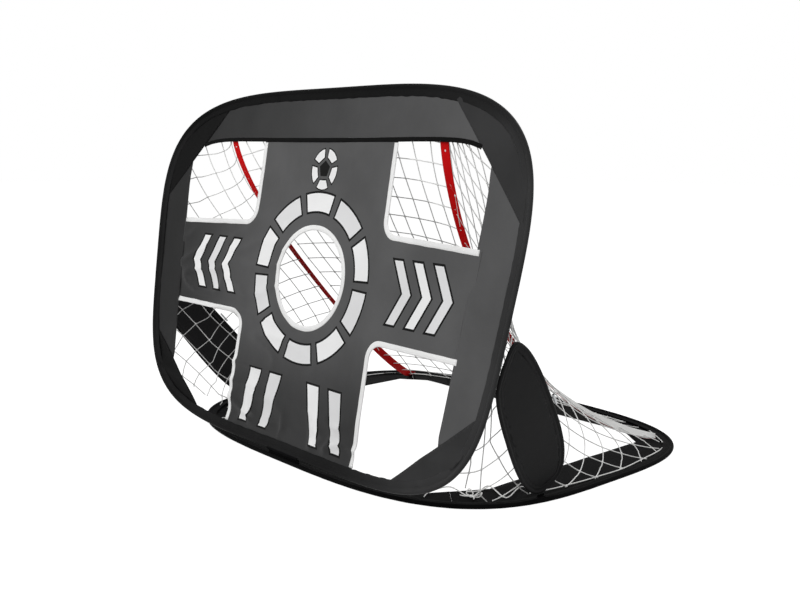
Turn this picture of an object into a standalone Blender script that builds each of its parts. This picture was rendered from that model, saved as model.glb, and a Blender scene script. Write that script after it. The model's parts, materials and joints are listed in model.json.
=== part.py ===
# Folding soccer goal with a target sheet: a front frame and a floor frame of spring
# hoops in fabric sleeves, two side wings that prop the front frame, and a net behind it.
# Metres, +Z up, +X to the goal's left-right, the front frame leans back towards +Y.
# The origin is on the floor at the middle of the floor frame.
import math

import bmesh
import bpy
from mathutils import Matrix, Vector

# Front frame
PANEL_WIDTH = 1.10            # at half height
PANEL_HEIGHT = 0.713          # measured up the leaning frame
PANEL_TAPER = 0.13            # share by which the top is wider than the bottom
PANEL_WAIST = 0.338           # height where the top and bottom curves meet
PANEL_TOP_POWER = 3.65        # squareness of the top corners
PANEL_FOOT_POWER = 4.34       # squareness of the bottom corners
PANEL_LEAN = math.radians(10.5)
PANEL_BOW = 0.0278            # how far the sides spring forward of the middle
PANEL_SETBACK = 0.0362        # hinge line behind the floor frame's front edge
HINGE_HEIGHT = 0.0178

# Floor frame
BASE_WIDTH = 0.978
BASE_DEPTH = 0.8106
BASE_FRONT_POWER = 3.23
BASE_BACK_POWER = 3.46
BASE_FRONT_BAND = 0.068       # widths of the floor fabric, from the outer edge to the hole
BASE_SIDE_BAND = 0.119
BASE_BACK_BAND = 0.105
BASE_FRONT_CUT = (0.070, 0.135)   # cut corners of the hole, across and along
BASE_BACK_CUT = (0.060, 0.045)

# Spring hoops, the crimps that close them and the sleeves round them
HOOP_D = 0.004
WING_HOOP_D = 0.0025
FERRULE_WALL = 0.0006
FERRULE_LENGTH = 0.040
WING_FERRULE_LENGTH = 0.024
HOOP_END_GAP = 0.001
SLEEVE_WALL = 0.0008
SLEEVE_WIDTH = 0.022
WING_SLEEVE_WIDTH = 0.014
SLEEVE_SEAM = 0.010           # how far a fabric edge reaches into its sleeve
WING_SEAM_IN = 0.006

# Fabric of the front frame; a place is (across, up the frame) from the middle of its foot,
# and a top or side place is (in from half the frame's width, down from its top)
FABRIC = 0.0010
SIDE_BAND = 0.099             # from the frame's outer edge to the band's inner edge
TOP_BAND = 0.101
BAND_POWER = 9.0              # squareness of the bands' inner edge
TOP_GUSSET = ((0.200, 0.039), (0.005, 0.241))      # in and down, at both ends of its seam
FOOT_GUSSET = ((0.050, 0.170), (0.247, 0.020))     # in and up
UPPER_HOLE = (0.207, 0.270)   # inner side, and bottom below the frame's top
LOWER_HOLE = (0.211, 0.248)   # inner side and top of the lower corner targets
HOLE_DROP = 0.010             # how far the upper targets' lower edge falls to the side
HOLE_CORNER = 0.028
OVAL_WIDTH = 0.201
OVAL_HEIGHT = 0.188
OVAL_CENTRE = 0.3446
BINDING_WIDTH = 0.009
BINDING_WALL = 0.0007
HEM_WIDTH = 0.008

# Side wings: a leaf in its own plane, y backwards and t up the wing
WING_FOOT_IN = 0.032          # its plane on the floor, in from half the floor frame's width
WING_HEAD_IN = 0.008          # its plane at the head, in from half the front frame's width
WING_HEAD = 0.300             # height of the head
WING_RISE = 0.02135           # lower end of the wing's middle line above the floor
WING_BACK = 0.1398            # the wing's middle behind the hinge line
WING_LENGTH = 0.364
WING_WIDTH = 0.118
WING_SLANT = 0.615
WING_POWER = 2.8
WING_TAPER = 0.12
WING_ROUND = 0.016            # softens the corners where the edge meets the seam line
WING_SEAM = 0.017             # the wing's edge behind the front frame's middle surface
WING_SEAM_RANGE = (0.235, 0.300)
WING_SEAM_BEHIND = (0.0045, 0.0090)
WING_PIVOT = (0.0044, 0.2744, 0.0133)   # out from its plane's foot, behind the hinge, up

# Straps and tabs that join the frames
STRAP_THICK = 0.0012
STRAP_PLAY = 0.0007
STRAP_WIDTH = 0.100
STRAP_FLAP = 0.026
TAB_LENGTH = 0.016
TAB_WIDTH = 0.0045             # of its foot on the floor fabric
TAB_IN = 0.0033                # its riser inside the edge of the floor frame's sleeve
TAB_THICK = 0.0012

# Net and its seam tapes
STRAND = 0.0024
TAPE_WIDTH = 0.020
TAPE_THICK = 0.0012
TAPE_TOP_IN = 0.234            # in from half the front frame's width
TAPE_FOOT_IN = 0.109           # in from half the floor frame's width
TAPE_UPPER_PULL = (0.183, 0.0351, 0.138)   # in from half the width, behind the hinge, below the top
TAPE_LOWER_PULL = (0.230, 0.288, 0.079)    # in from the tape's foot, forward of it, above the floor
TAPE_STEPS = 16
NET_EDGE = 0.030              # tie line inside the front frame's outer edge
NET_FLOOR_EDGE = 0.042        # tie line inside the floor frame's outer edge
NET_BEHIND = 0.0022           # the net's middle behind the front frame's middle surface
TAPE_BEHIND = 0.0017
NET_TO_TAPE = 0.0016
NET_FOOT_HEIGHT = 0.085       # where the side net leaves the front frame for the floor
NET_FOOT_IN = 0.089           # where it reaches the floor, in from half the floor frame's width
NET_SIDE_SAG = 0.020
NET_ROWS = 8
NET_BACK_CELLS = 8
NET_SIDE_CELLS = 4

CLEARANCE = 0.0003            # gap between pieces that touch
BEND_STEP = PANEL_WIDTH / 20
FLAT_ENOUGH = math.radians(0.15)
PANEL_POINTS = 64
BASE_POINTS = 56
WING_POINTS = 44

FERRULE_R = HOOP_D / 2 + CLEARANCE + FERRULE_WALL
POCKET_R = FERRULE_R + CLEARANCE
SLEEVE_R = POCKET_R + SLEEVE_WALL
WING_FERRULE_R = WING_HOOP_D / 2 + CLEARANCE + FERRULE_WALL
WING_POCKET_R = WING_FERRULE_R + CLEARANCE
WING_SLEEVE_R = WING_POCKET_R + SLEEVE_WALL
BAND_Z = SLEEVE_WALL + CLEARANCE + FABRIC / 2
BASE_FRONT = -BASE_DEPTH / 2
TAPE_TO_NET = TAPE_WIDTH / 2 + NET_TO_TAPE + STRAND / 2
HINGE = Vector((0, BASE_FRONT + PANEL_SETBACK, HINGE_HEIGHT))
PANEL_SIDE, BASE_SIDE = PANEL_WIDTH / 2, BASE_WIDTH / 2
TOP_SEAM = [(PANEL_SIDE - aside, PANEL_HEIGHT - down) for aside, down in TOP_GUSSET]
FOOT_SEAM = [(PANEL_SIDE - aside, up) for aside, up in FOOT_GUSSET]
UPPER_CORNER = (UPPER_HOLE[0], PANEL_HEIGHT - UPPER_HOLE[1])
WING_FOOT_X = BASE_SIDE - WING_FOOT_IN
WING_TILT = math.atan2(PANEL_SIDE - WING_HEAD_IN - WING_FOOT_X, WING_HEAD)
WING_CENTRE = Vector((HINGE.y + WING_BACK, WING_RISE + WING_LENGTH / 2 * math.cos(WING_SLANT)))
TAPE_TOP_X, TAPE_FOOT_X = PANEL_SIDE - TAPE_TOP_IN, BASE_SIDE - TAPE_FOOT_IN
NET_FOOT_X = BASE_SIDE - NET_FOOT_IN


def remove_start_objects():
    for obj in list(bpy.data.objects):
        bpy.data.objects.remove(obj, do_unlink=True)


def new_collection(name):
    collection = bpy.data.collections.new(name)
    bpy.context.scene.collection.children.link(collection)
    return collection


def material(name, colour, roughness, metallic=0.0):
    mat = bpy.data.materials.new(name)
    mat.use_nodes = True
    shader = mat.node_tree.nodes["Principled BSDF"]
    shader.inputs["Base Color"].default_value = (*colour, 1)
    shader.inputs["Roughness"].default_value = roughness
    shader.inputs["Metallic"].default_value = metallic
    return mat


remove_start_objects()
PARTS = new_collection("folding_soccer_goal")
GUIDES = new_collection("guides")
BLACK = material("black_fabric", (0.012, 0.012, 0.013), 0.75)
GREY = material("grey_sheet", (0.095, 0.095, 0.098), 0.5)
BAND_GREY = material("band_fabric", (0.055, 0.055, 0.058), 0.6)
WHITE = material("white_binding", (0.82, 0.82, 0.80), 0.6)
CORD = material("net_cord", (0.75, 0.75, 0.74), 0.7)
RED = material("red_tape", (0.42, 0.012, 0.015), 0.65)
STEEL = material("spring_steel", (0.45, 0.46, 0.47), 0.35, 1.0)


def empty(name, matrix):
    obj = bpy.data.objects.new(name, None)
    obj.matrix_world = matrix
    PARTS.objects.link(obj)
    return obj


def link_mesh(name, mesh, mat, parent=None, matrix=None):
    obj = bpy.data.objects.new(name, mesh)
    PARTS.objects.link(obj)
    mesh.materials.clear()
    mesh.materials.append(mat)
    if parent is not None:
        obj.parent = parent
    if matrix is not None:
        obj.matrix_local = matrix
    return obj


def poly_curve(points, cyclic, flat):
    curve = bpy.data.curves.new("outline", "CURVE")
    curve.dimensions = "2D" if flat else "3D"
    add_spline(curve, points, cyclic)
    return curve


def add_spline(curve, points, cyclic):
    spline = curve.splines.new("POLY")
    spline.points.add(len(points) - 1)
    for spline_point, point in zip(spline.points, points):
        spline_point.co = (*point, *([0.0] * (3 - len(point))), 1)
    spline.use_cyclic_u = cyclic


def curve_to_mesh(curve, name, flat=False):
    """The welded mesh of a curve, which is then removed; a flat one keeps no needless points."""
    obj = bpy.data.objects.new(name, curve)
    GUIDES.objects.link(obj)
    bpy.context.view_layer.update()
    evaluated = obj.evaluated_get(bpy.context.evaluated_depsgraph_get())
    mesh = bpy.data.meshes.new_from_object(evaluated)
    bpy.data.objects.remove(obj)
    bpy.data.curves.remove(curve)
    bm = bmesh.new()
    bm.from_mesh(mesh)
    bmesh.ops.remove_doubles(bm, verts=bm.verts, dist=1e-5)
    if flat:
        bmesh.ops.dissolve_limit(bm, angle_limit=FLAT_ENOUGH, verts=bm.verts, edges=bm.edges)
    bmesh.ops.recalc_face_normals(bm, faces=bm.faces)
    bm.to_mesh(mesh)
    bm.free()
    return mesh


def flat_mesh(outlines, thickness, name):
    """A flat sheet: the first outline is its edge, any others are holes."""
    curve = poly_curve(outlines[0], True, True)
    for hole in outlines[1:]:
        add_spline(curve, hole, True)
    curve.fill_mode = "BOTH"
    curve.extrude = thickness / 2
    return curve_to_mesh(curve, name, flat=True)


def rod_mesh(points, diameter, name, cyclic=False, resolution=1):
    curve = poly_curve(points, cyclic, False)
    curve.bevel_depth = diameter / 2
    curve.bevel_resolution = resolution
    curve.use_fill_caps = not cyclic
    return curve_to_mesh(curve, name)


def swept_mesh(points, profile, name, cyclic=True):
    """A closed profile swept along a flat outline; its x points out of the outline."""
    turned = [(-x, y) for x, y in profile] if cyclic else profile   # Blender flips a ring's section
    section = bpy.data.objects.new("section", poly_curve(turned, True, True))
    section.hide_render = True
    section.display_type = "WIRE"
    GUIDES.objects.link(section)
    curve = poly_curve(points, cyclic, True)
    curve.bevel_mode = "OBJECT"
    curve.bevel_object = section
    curve.use_fill_caps = not cyclic
    mesh = curve_to_mesh(curve, name)
    section_data = section.data
    bpy.data.objects.remove(section)
    bpy.data.curves.remove(section_data)
    return mesh


def shade(mesh, angle=40):
    mesh.shade_smooth()
    mesh.set_sharp_from_angle(angle=math.radians(angle))


def superellipse(angle, power):
    c, s = math.cos(angle), math.sin(angle)
    r = (abs(c) ** power + abs(s) ** power) ** (-1 / power)
    return r * c, r * s


def panel_edge(angle):
    """A point of the front frame's outer edge, x across and s up the frame."""
    upper = math.sin(angle) > 0
    c, s = superellipse(angle, PANEL_TOP_POWER if upper else PANEL_FOOT_POWER)
    reach = PANEL_HEIGHT - PANEL_WAIST if upper else PANEL_WAIST
    height = PANEL_WAIST + reach * s
    return Vector((PANEL_WIDTH / 2 * c * taper(height), height))


def band_edge(angle):
    """The inner edge of the side and top bands; its lower end runs on past the gussets."""
    c, s = superellipse(angle, BAND_POWER)
    reach = PANEL_HEIGHT - TOP_BAND - PANEL_WAIST if s > 0 else PANEL_WAIST
    height = PANEL_WAIST + reach * s
    return Vector(((PANEL_WIDTH / 2 - SIDE_BAND) * c * taper(height), height))


def taper(height):
    return 1 + PANEL_TAPER * (height / PANEL_HEIGHT - 0.5)


def base_edge(angle):
    c, s = superellipse(angle, BASE_BACK_POWER if math.sin(angle) > 0 else BASE_FRONT_POWER)
    return Vector((BASE_WIDTH / 2 * c, BASE_DEPTH / 2 * s))


def wing_edge(angle):
    """A point of the right wing's outer edge, y backwards and t up the wing."""
    c, s = superellipse(-angle, WING_POWER)
    along = WING_LENGTH / 2 * c
    across = WING_WIDTH / 2 * s * (1 - WING_TAPER * c)
    y = WING_CENTRE.x - along * math.sin(WING_SLANT) + across * math.cos(WING_SLANT)
    t = WING_CENTRE.y + along * math.cos(WING_SLANT) + across * math.sin(WING_SLANT)
    seam = wing_seam_y(t)
    return Vector(((y + seam + math.hypot(y - seam, WING_ROUND)) / 2, t))


def wing_seam_y(t):
    """The line up the wing's plane where its edge is sewn behind the front frame."""
    rise = t * math.cos(WING_TILT) - HINGE.z
    return HINGE.y - PANEL_BOW * 0.86 + rise * math.tan(PANEL_LEAN) + WING_SEAM


def even_outline(edge, inset, count, start=-math.pi / 2):
    """Points at even steps round an edge, each moved inwards by the inset."""
    fine = 720
    raw = [edge(start + 2 * math.pi * i / fine) for i in range(fine)]
    lengths = [0.0]
    for i in range(fine):
        lengths.append(lengths[-1] + (raw[(i + 1) % fine] - raw[i]).length)
    points, at = [], 0
    for k in range(count):
        target = lengths[-1] * k / count
        while lengths[at + 1] < target:
            at += 1
        share = (target - lengths[at]) / (lengths[at + 1] - lengths[at])
        before, here, there, after = (raw[(at + i) % fine] for i in (-2, 0, 1, 3))
        heading = (there - before).lerp(after - here, share)
        inwards = Vector((-heading.y, heading.x)).normalized()
        points.append(here.lerp(there, share) + inwards * inset)
    return points


def crossings(ring, line, shift=0.0):
    """Places where a ring crosses a line moved left by the shift, in steps along the ring."""
    a, b = Vector(line[0]), Vector(line[1])
    normal = Vector((a.y - b.y, b.x - a.x)).normalized()
    beside = [(point - a).dot(normal) - shift for point in ring]
    after = beside[1:] + beside[:1]
    return [i + here / (here - there) for i, (here, there) in enumerate(zip(beside, after))
            if (here > 0) != (there > 0)]


def stretch(ring, start, end):
    """The points of a ring from one place to another."""
    count = len(ring)
    middle = [ring[i % count] for i in range(math.floor(start) + 1, math.ceil(end))]
    ends = [ring[int(at) % count].lerp(ring[(int(at) + 1) % count], at - int(at)) for at in (start, end)]
    return [ends[0]] + middle + [ends[1]]


def mirrored(points):
    return [Vector((-p[0], p[1])) for p in reversed(points)]


def arc(centre, radius, start, end, steps=5):
    return [Vector((centre[0] + radius * math.cos(start + (end - start) * i / steps),
                    centre[1] + radius * math.sin(start + (end - start) * i / steps)))
            for i in range(steps + 1)]


def sleeve_profile(pocket, outer, width, flat_foot):
    """Section of a sleeve: a round pocket for the hoop and two leaves that hold the fabric."""
    slot = FABRIC / 2 + CLEARANCE
    turn = math.radians(120)
    outer_arc = arc((-outer, 0), outer, turn, -turn, 6)
    inner_arc = arc((-outer, 0), pocket, -turn, turn, 6)
    if not flat_foot:
        return ([Vector((-width, slot + SLEEVE_WALL))] + outer_arc
                + [Vector((-width, -slot - SLEEVE_WALL)), Vector((-width, -slot))]
                + inner_arc + [Vector((-width, slot))])
    flat = math.radians(90)
    lift = Vector((0, outer))
    outer_arc = [p + lift for p in arc((-outer, 0), outer, turn, -flat, 6)]
    inner_arc = [p + lift for p in arc((-outer, 0), pocket, -flat, turn, 6)]
    top = SLEEVE_WALL + 2 * slot
    return ([Vector((-width, top + SLEEVE_WALL))] + outer_arc
            + [Vector((-width, 0)), Vector((-width, SLEEVE_WALL))]
            + inner_arc + [Vector((-width, top))])


def bow(x):
    """How far the front frame's surface stands forward at x, in straight facets."""
    left = math.floor(x / BEND_STEP) * BEND_STEP
    share = (x - left) / BEND_STEP
    curve = [PANEL_BOW * (2 * at / PANEL_WIDTH) ** 2 for at in (left, left + BEND_STEP)]
    return curve[0] * (1 - share) + curve[1] * share


def bend(mesh, cut=True):
    """Give a piece made flat the front frame's bow."""
    bm = bmesh.new()
    bm.from_mesh(mesh)
    if cut:
        reach = math.ceil(PANEL_WIDTH / 2 / BEND_STEP)
        for k in range(-reach, reach + 1):
            bmesh.ops.bisect_plane(bm, geom=bm.verts[:] + bm.edges[:] + bm.faces[:], dist=1e-6,
                                   plane_co=(k * BEND_STEP, 0, 0), plane_no=(1, 0, 0))
    for vert in bm.verts:
        vert.co.z += bow(vert.co.x)
    bm.to_mesh(mesh)
    bm.free()
    return mesh


def turned_tube(inner, outer, length, name):
    """A short tube along X, turned from its wall's section."""
    mesh = bpy.data.meshes.new(name)
    bm = bmesh.new()
    corners = [(inner, -length / 2), (outer, -length / 2), (outer, length / 2), (inner, length / 2)]
    verts = [bm.verts.new((at, r, 0)) for r, at in corners]
    for a, b in zip(verts, verts[1:] + verts[:1]):
        bm.edges.new((a, b))
    bmesh.ops.spin(bm, geom=bm.verts[:] + bm.edges[:], cent=(0, 0, 0), axis=(1, 0, 0),
                   angle=2 * math.pi, steps=10, use_merge=True)
    bmesh.ops.recalc_face_normals(bm, faces=bm.faces)
    bm.to_mesh(mesh)
    bm.free()
    return mesh


PANEL_MATRIX = Matrix.Translation(HINGE) @ Matrix.Rotation(math.pi / 2 - PANEL_LEAN, 4, "X")
PANEL_SHIFT = Matrix.Translation((0, -SLEEVE_R, 0))   # panel heights start at the outer edge
panel_pivot = empty("front_fold_pivot", PANEL_MATRIX)


def panel_point(x, s, out):
    """World place of a point of the front frame; out is towards the front."""
    return PANEL_MATRIX @ PANEL_SHIFT @ Vector((x, s, out + bow(x)))


def panel_piece(name, mesh, mat, cut=True):
    obj = link_mesh(name, bend(mesh, cut), mat, panel_pivot, PANEL_SHIFT)
    shade(mesh)
    return obj


def hoop_points(edge, inset, count, start):
    """Open path round an edge whose ends meet with a small gap."""
    ring = even_outline(edge, inset, count, start)
    first = (ring[1] - ring[0]).normalized() * HOOP_END_GAP / 2
    return [ring[0] + first] + ring[1:] + [ring[0] - first]


def ferrule_matrix(edge, inset, start):
    ring = even_outline(edge, inset, 90, start)
    along = ring[1] - ring[-1]
    turn = Matrix.Rotation(math.atan2(along.y, along.x), 4, "Z")
    return Matrix.Translation((ring[0].x, ring[0].y, 0)) @ turn


def front_hoop():
    foot = -math.pi / 2
    path = hoop_points(panel_edge, SLEEVE_R, PANEL_POINTS, foot)
    panel_piece("front_hoop", rod_mesh(path, HOOP_D, "front_hoop"), STEEL, cut=False)
    tube = turned_tube(HOOP_D / 2 + CLEARANCE, FERRULE_R, FERRULE_LENGTH, "front_hoop_ferrule")
    tube.transform(ferrule_matrix(panel_edge, SLEEVE_R, foot))
    panel_piece("front_hoop_ferrule", tube, STEEL, cut=False)
    profile = sleeve_profile(POCKET_R, SLEEVE_R, SLEEVE_WIDTH, False)
    ring = even_outline(panel_edge, 0, PANEL_POINTS)
    panel_piece("front_sleeve", swept_mesh(ring, profile, "front_sleeve"), BLACK, cut=False)


def seam_ring():
    """The edge of the fabric inside the front sleeve."""
    return even_outline(panel_edge, SLEEVE_WIDTH - SLEEVE_SEAM, 2 * PANEL_POINTS)


def front_bands():
    gap = CLEARANCE / 2
    rings = seam_ring(), even_outline(band_edge, -gap, 2 * PANEL_POINTS)
    top = [crossings(ring, TOP_SEAM, -gap) for ring in rings]
    foot = [crossings(ring, FOOT_SEAM, -gap) for ring in rings]
    outside, inside = (stretch(ring, at[1], len(ring) - at[1]) for ring, at in zip(rings, top))
    panel_piece("top_band", flat_mesh([outside + inside[::-1]], FABRIC, "top_band"), BAND_GREY)
    outside, inside = (stretch(ring, low[1], high[0]) for ring, low, high in zip(rings, foot, top))
    side = outside + inside[::-1]
    panel_piece("right_band", flat_mesh([side], FABRIC, "right_band"), BAND_GREY)
    panel_piece("left_band", flat_mesh([mirrored(side)], FABRIC, "left_band"), BAND_GREY)


def front_gussets():
    ring = seam_ring()
    for level, line in (("upper", TOP_SEAM), ("lower", FOOT_SEAM)):
        corner = stretch(ring, *crossings(ring, line, CLEARANCE / 2))
        for side, polygon in (("right", corner), ("left", mirrored(corner))):
            name = f"{level}_{side}_gusset"
            panel_piece(name, flat_mesh([polygon], FABRIC, name), BLACK)


def edge_height(points, x):
    """The lowest and the highest place where an outline passes x."""
    runs = [(points[i - 1], points[i]) for i in range(len(points))]
    heights = [a.y + (b.y - a.y) * (x - a.x) / (b.x - a.x) for a, b in runs
               if (a.x - x) * (b.x - x) <= 0 and a.x != b.x]
    return min(heights), max(heights)


def edge_half_width(points, height):
    runs = [(points[i - 1], points[i]) for i in range(len(points))]
    return max(a.x + (b.x - a.x) * (height - a.y) / (b.y - a.y) for a, b in runs
               if (a.y - height) * (b.y - height) <= 0 and a.y != b.y)


def sheet_outline():
    """The target sheet: a cross whose inner corners bound the four corner targets."""
    inside = even_outline(band_edge, CLEARANCE / 2, 2 * PANEL_POINTS)
    outside = seam_ring()
    right = [Vector((LOWER_HOLE[0], edge_height(outside, LOWER_HOLE[0])[0]))]
    right += lower_hole_edge(inside)
    right += [p for p in inside if p.x > 0 and LOWER_HOLE[1] < p.y < UPPER_CORNER[1] - HOLE_DROP]
    right += upper_hole_edge(inside)
    right += [Vector((UPPER_CORNER[0], edge_height(inside, UPPER_CORNER[0])[1]))]
    top = [p for p in inside if abs(p.x) < UPPER_CORNER[0] and p.y > UPPER_CORNER[1]]
    foot = [p for p in outside if abs(p.x) < LOWER_HOLE[0] and p.y < LOWER_HOLE[1]]
    foot.sort(key=lambda p: p.x)
    return right + top + mirrored(right) + foot


def lower_hole_edge(inside, short=0.0):
    x, s = LOWER_HOLE
    corner = arc((x + HOLE_CORNER, s - HOLE_CORNER), HOLE_CORNER, math.pi, math.pi / 2)
    return corner + [Vector((edge_half_width(inside, s) - short, s))]


def upper_hole_edge(inside, short=0.0):
    x, s = UPPER_CORNER
    corner = arc((x + HOLE_CORNER, s + HOLE_CORNER), HOLE_CORNER, -math.pi / 2, -math.pi)
    end = s - HOLE_DROP
    return [Vector((edge_half_width(inside, end) - short, end))] + corner


def oval(grow, count=28):
    return [Vector(((OVAL_WIDTH / 2 + grow) * math.cos(2 * math.pi * i / count),
                    OVAL_CENTRE + (OVAL_HEIGHT / 2 + grow) * math.sin(2 * math.pi * i / count)))
            for i in range(count)]


def target_sheet():
    mesh = flat_mesh([sheet_outline(), oval(0)], FABRIC, "target_sheet")
    panel_piece("target_sheet", mesh, GREY)


def binding_profile():
    """A folded tape round the sheet's edge; x points into the opening."""
    slot = FABRIC / 2 + CLEARANCE
    half = slot + BINDING_WALL
    back, lip = -BINDING_WIDTH + CLEARANCE + BINDING_WALL, CLEARANCE + BINDING_WALL
    return [Vector(p) for p in ((back, half), (lip, half), (lip, -half), (back, -half),
                                (back, -slot), (CLEARANCE, -slot), (CLEARANCE, slot), (back, slot))]


def corner_binding(name, path):
    profile = binding_profile()
    panel_piece(name, swept_mesh(path, profile, name, cyclic=False), WHITE)


def bindings():
    inside = even_outline(band_edge, CLEARANCE / 2, 2 * PANEL_POINTS)
    short = 2 * CLEARANCE + BINDING_WALL
    sleeve_edge = edge_height(even_outline(panel_edge, SLEEVE_WIDTH, 2 * PANEL_POINTS), LOWER_HOLE[0])[0]
    hem_edge = edge_height(inside, UPPER_CORNER[0])[1] - HEM_WIDTH / 2
    lower = [Vector((LOWER_HOLE[0], sleeve_edge + short))] + lower_hole_edge(inside, short)
    upper = upper_hole_edge(inside, short) + [Vector((UPPER_CORNER[0], hem_edge - short))]
    for level, path in (("lower", lower), ("upper", upper)):
        corner_binding(f"{level}_right_binding", path)
        corner_binding(f"{level}_left_binding", mirrored(path))
    inwards = [Vector((-x, y)) for x, y in binding_profile()]
    ring = swept_mesh(oval(0), inwards, "centre_binding")
    panel_piece("centre_binding", ring, WHITE)


def top_hem():
    """A narrow tape in front of the seam along the lower edge of the top band."""
    rings = [even_outline(band_edge, inset, 2 * PANEL_POINTS) for inset in (-HEM_WIDTH / 2, HEM_WIDTH / 2)]
    end = crossings(even_outline(band_edge, 0, 2 * PANEL_POINTS), TOP_SEAM)[1]
    upper, lower = (stretch(ring, end, len(ring) - end) for ring in rings)
    mesh = flat_mesh([upper + lower[::-1]], FABRIC, "top_hem")
    mesh.transform(Matrix.Translation((0, 0, FABRIC + CLEARANCE)))
    panel_piece("top_hem", mesh, BLACK)


def loft(name, rings):
    """A solid skinned over a row of like sections and closed at both ends."""
    mesh = bpy.data.meshes.new(name)
    bm = bmesh.new()
    rows = [[bm.verts.new(point) for point in ring] for ring in rings]
    for end in (rows[0], rows[-1]):
        bm.faces.new(end)
    for before, after in zip(rows, rows[1:]):
        for i in range(len(before)):
            bm.faces.new((before[i - 1], before[i], after[i], after[i - 1]))
    bmesh.ops.recalc_face_normals(bm, faces=bm.faces)
    bm.to_mesh(mesh)
    bm.free()
    return mesh


def wing_seams():
    """Tapes behind the front sleeve at the stretch where each wing's edge is sewn on."""
    near, far = WING_SEAM_BEHIND
    half = FABRIC / 2
    section = ((-half, -near), (half, -near), (half, -far), (-half, -far))
    for side, sign in (("right", 1), ("left", -1)):
        name = f"{side}_wing_seam"
        rings = [[(sign * (WING_FOOT_X + t * math.sin(WING_TILT)) + aside, t, out)
                  for aside, out in section] for t in WING_SEAM_RANGE]
        panel_piece(name, loft(name, rings), BLACK, cut=False)


def floor_piece(name, mesh, mat, lift=0.0):
    mesh.transform(Matrix.Translation((0, 0, lift)))
    shade(mesh)
    return link_mesh(name, mesh, mat)


def base_hoop():
    back = math.pi / 2
    path = hoop_points(base_edge, SLEEVE_R, BASE_POINTS, back)
    floor_piece("base_hoop", rod_mesh(path, HOOP_D, "base_hoop"), STEEL, SLEEVE_R)
    tube = turned_tube(HOOP_D / 2 + CLEARANCE, FERRULE_R, FERRULE_LENGTH, "base_hoop_ferrule")
    tube.transform(ferrule_matrix(base_edge, SLEEVE_R, back))
    floor_piece("base_hoop_ferrule", tube, STEEL, SLEEVE_R)
    profile = sleeve_profile(POCKET_R, SLEEVE_R, SLEEVE_WIDTH, True)
    ring = even_outline(base_edge, 0, BASE_POINTS)
    floor_piece("base_sleeve", swept_mesh(ring, profile, "base_sleeve"), BLACK)


def base_hole():
    """The inner edge of the floor fabric, with its cut corners, counter-clockwise from the front."""
    half = BASE_WIDTH / 2 - BASE_SIDE_BAND
    front, back = BASE_FRONT + BASE_FRONT_BAND, BASE_DEPTH / 2 - BASE_BACK_BAND
    (front_x, front_y), (back_x, back_y) = BASE_FRONT_CUT, BASE_BACK_CUT
    right = [Vector(p) for p in ((half - front_x, front), (half, front + front_y),
                                 (half, back - back_y), (half - back_x, back))]
    return right + mirrored(right)


def mitre(ring, line, shift):
    """Where a mitre line moved left by the shift meets the ring, and the line's inner end."""
    inner, outer = line
    aside = Vector((inner.y - outer.y, outer.x - inner.x)).normalized() * shift
    place = min(crossings(ring, line, shift), key=lambda at: (ring[int(at)] - outer).length)
    return place, inner + aside


def floor_bands():
    """Four strips of floor fabric, mitred from the hole's cut corners to the hoop's corners."""
    ring = even_outline(base_edge, SLEEVE_WIDTH - SLEEVE_SEAM, 2 * BASE_POINTS)
    hole = base_hole()
    gap = CLEARANCE / 2
    front_line = (hole[0].lerp(hole[1], 0.5), Vector((BASE_WIDTH / 2, BASE_FRONT)))
    back_line = (hole[2].lerp(hole[3], 0.5), Vector((BASE_WIDTH / 2, BASE_DEPTH / 2)))
    start, start_corner = mitre(ring, front_line, gap)
    end, end_corner = mitre(ring, back_line, -gap)
    right = stretch(ring, start, end) + [end_corner, hole[2], hole[1], start_corner]
    count = len(ring)
    place, corner = mitre(ring, front_line, -gap)
    front = stretch(ring, count - place, count + place) + [corner, hole[0]] + mirrored([corner, hole[0]])
    place, corner = mitre(ring, back_line, gap)
    back = stretch(ring, place, count - place) + mirrored([hole[3], corner]) + [hole[3], corner]
    for name, polygon in (("front_floor_band", front), ("right_floor_band", right),
                          ("back_floor_band", back), ("left_floor_band", mirrored(right))):
        floor_piece(name, flat_mesh([polygon], FABRIC, name), BLACK, BAND_Z)


def hinge_strap():
    """The fabric strap that holds the front sleeve's foot down to the floor fabric."""
    inner, outer = SLEEVE_R + STRAP_PLAY, SLEEVE_R + STRAP_PLAY + STRAP_THICK
    foot = BAND_Z + FABRIC / 2 + CLEARANCE
    low, mid, high = math.radians(170), math.radians(262), math.radians(290)
    cradle = arc((HINGE.y, HINGE.z), inner, high, low, 8) + arc((HINGE.y, HINGE.z), outer, low, mid, 6)
    web = HINGE.y + outer * math.cos(mid)
    section = cradle + [(web, foot), (HINGE.y + STRAP_FLAP, foot), (HINGE.y + STRAP_FLAP, foot + STRAP_THICK),
                        (web + STRAP_THICK, foot + STRAP_THICK)]
    section += arc((HINGE.y, HINGE.z), outer, math.radians(275), high, 2)
    rings = [[(x, *point) for point in section] for x in (-STRAP_WIDTH / 2, STRAP_WIDTH / 2)]
    floor_piece("hinge_strap", loft("hinge_strap", rings), BLACK)


def wing_matrix():
    lean_x, lean_z = math.sin(WING_TILT), math.cos(WING_TILT)
    axes = Matrix(((0, lean_x, lean_z), (1, 0, 0), (0, lean_z, -lean_x))).to_4x4()
    return Matrix.Translation((WING_FOOT_X, 0, 0)) @ axes


def wing_piece(name, mesh, mat, pivot, sign):
    mesh.transform(wing_matrix())
    if sign < 0:
        mesh.transform(Matrix.Scale(-1, 4, (1, 0, 0)))
        mesh.flip_normals()
    mesh.transform(Matrix.Translation(pivot.matrix_world.translation).inverted())
    shade(mesh)
    link_mesh(name, mesh, mat, pivot)


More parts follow.
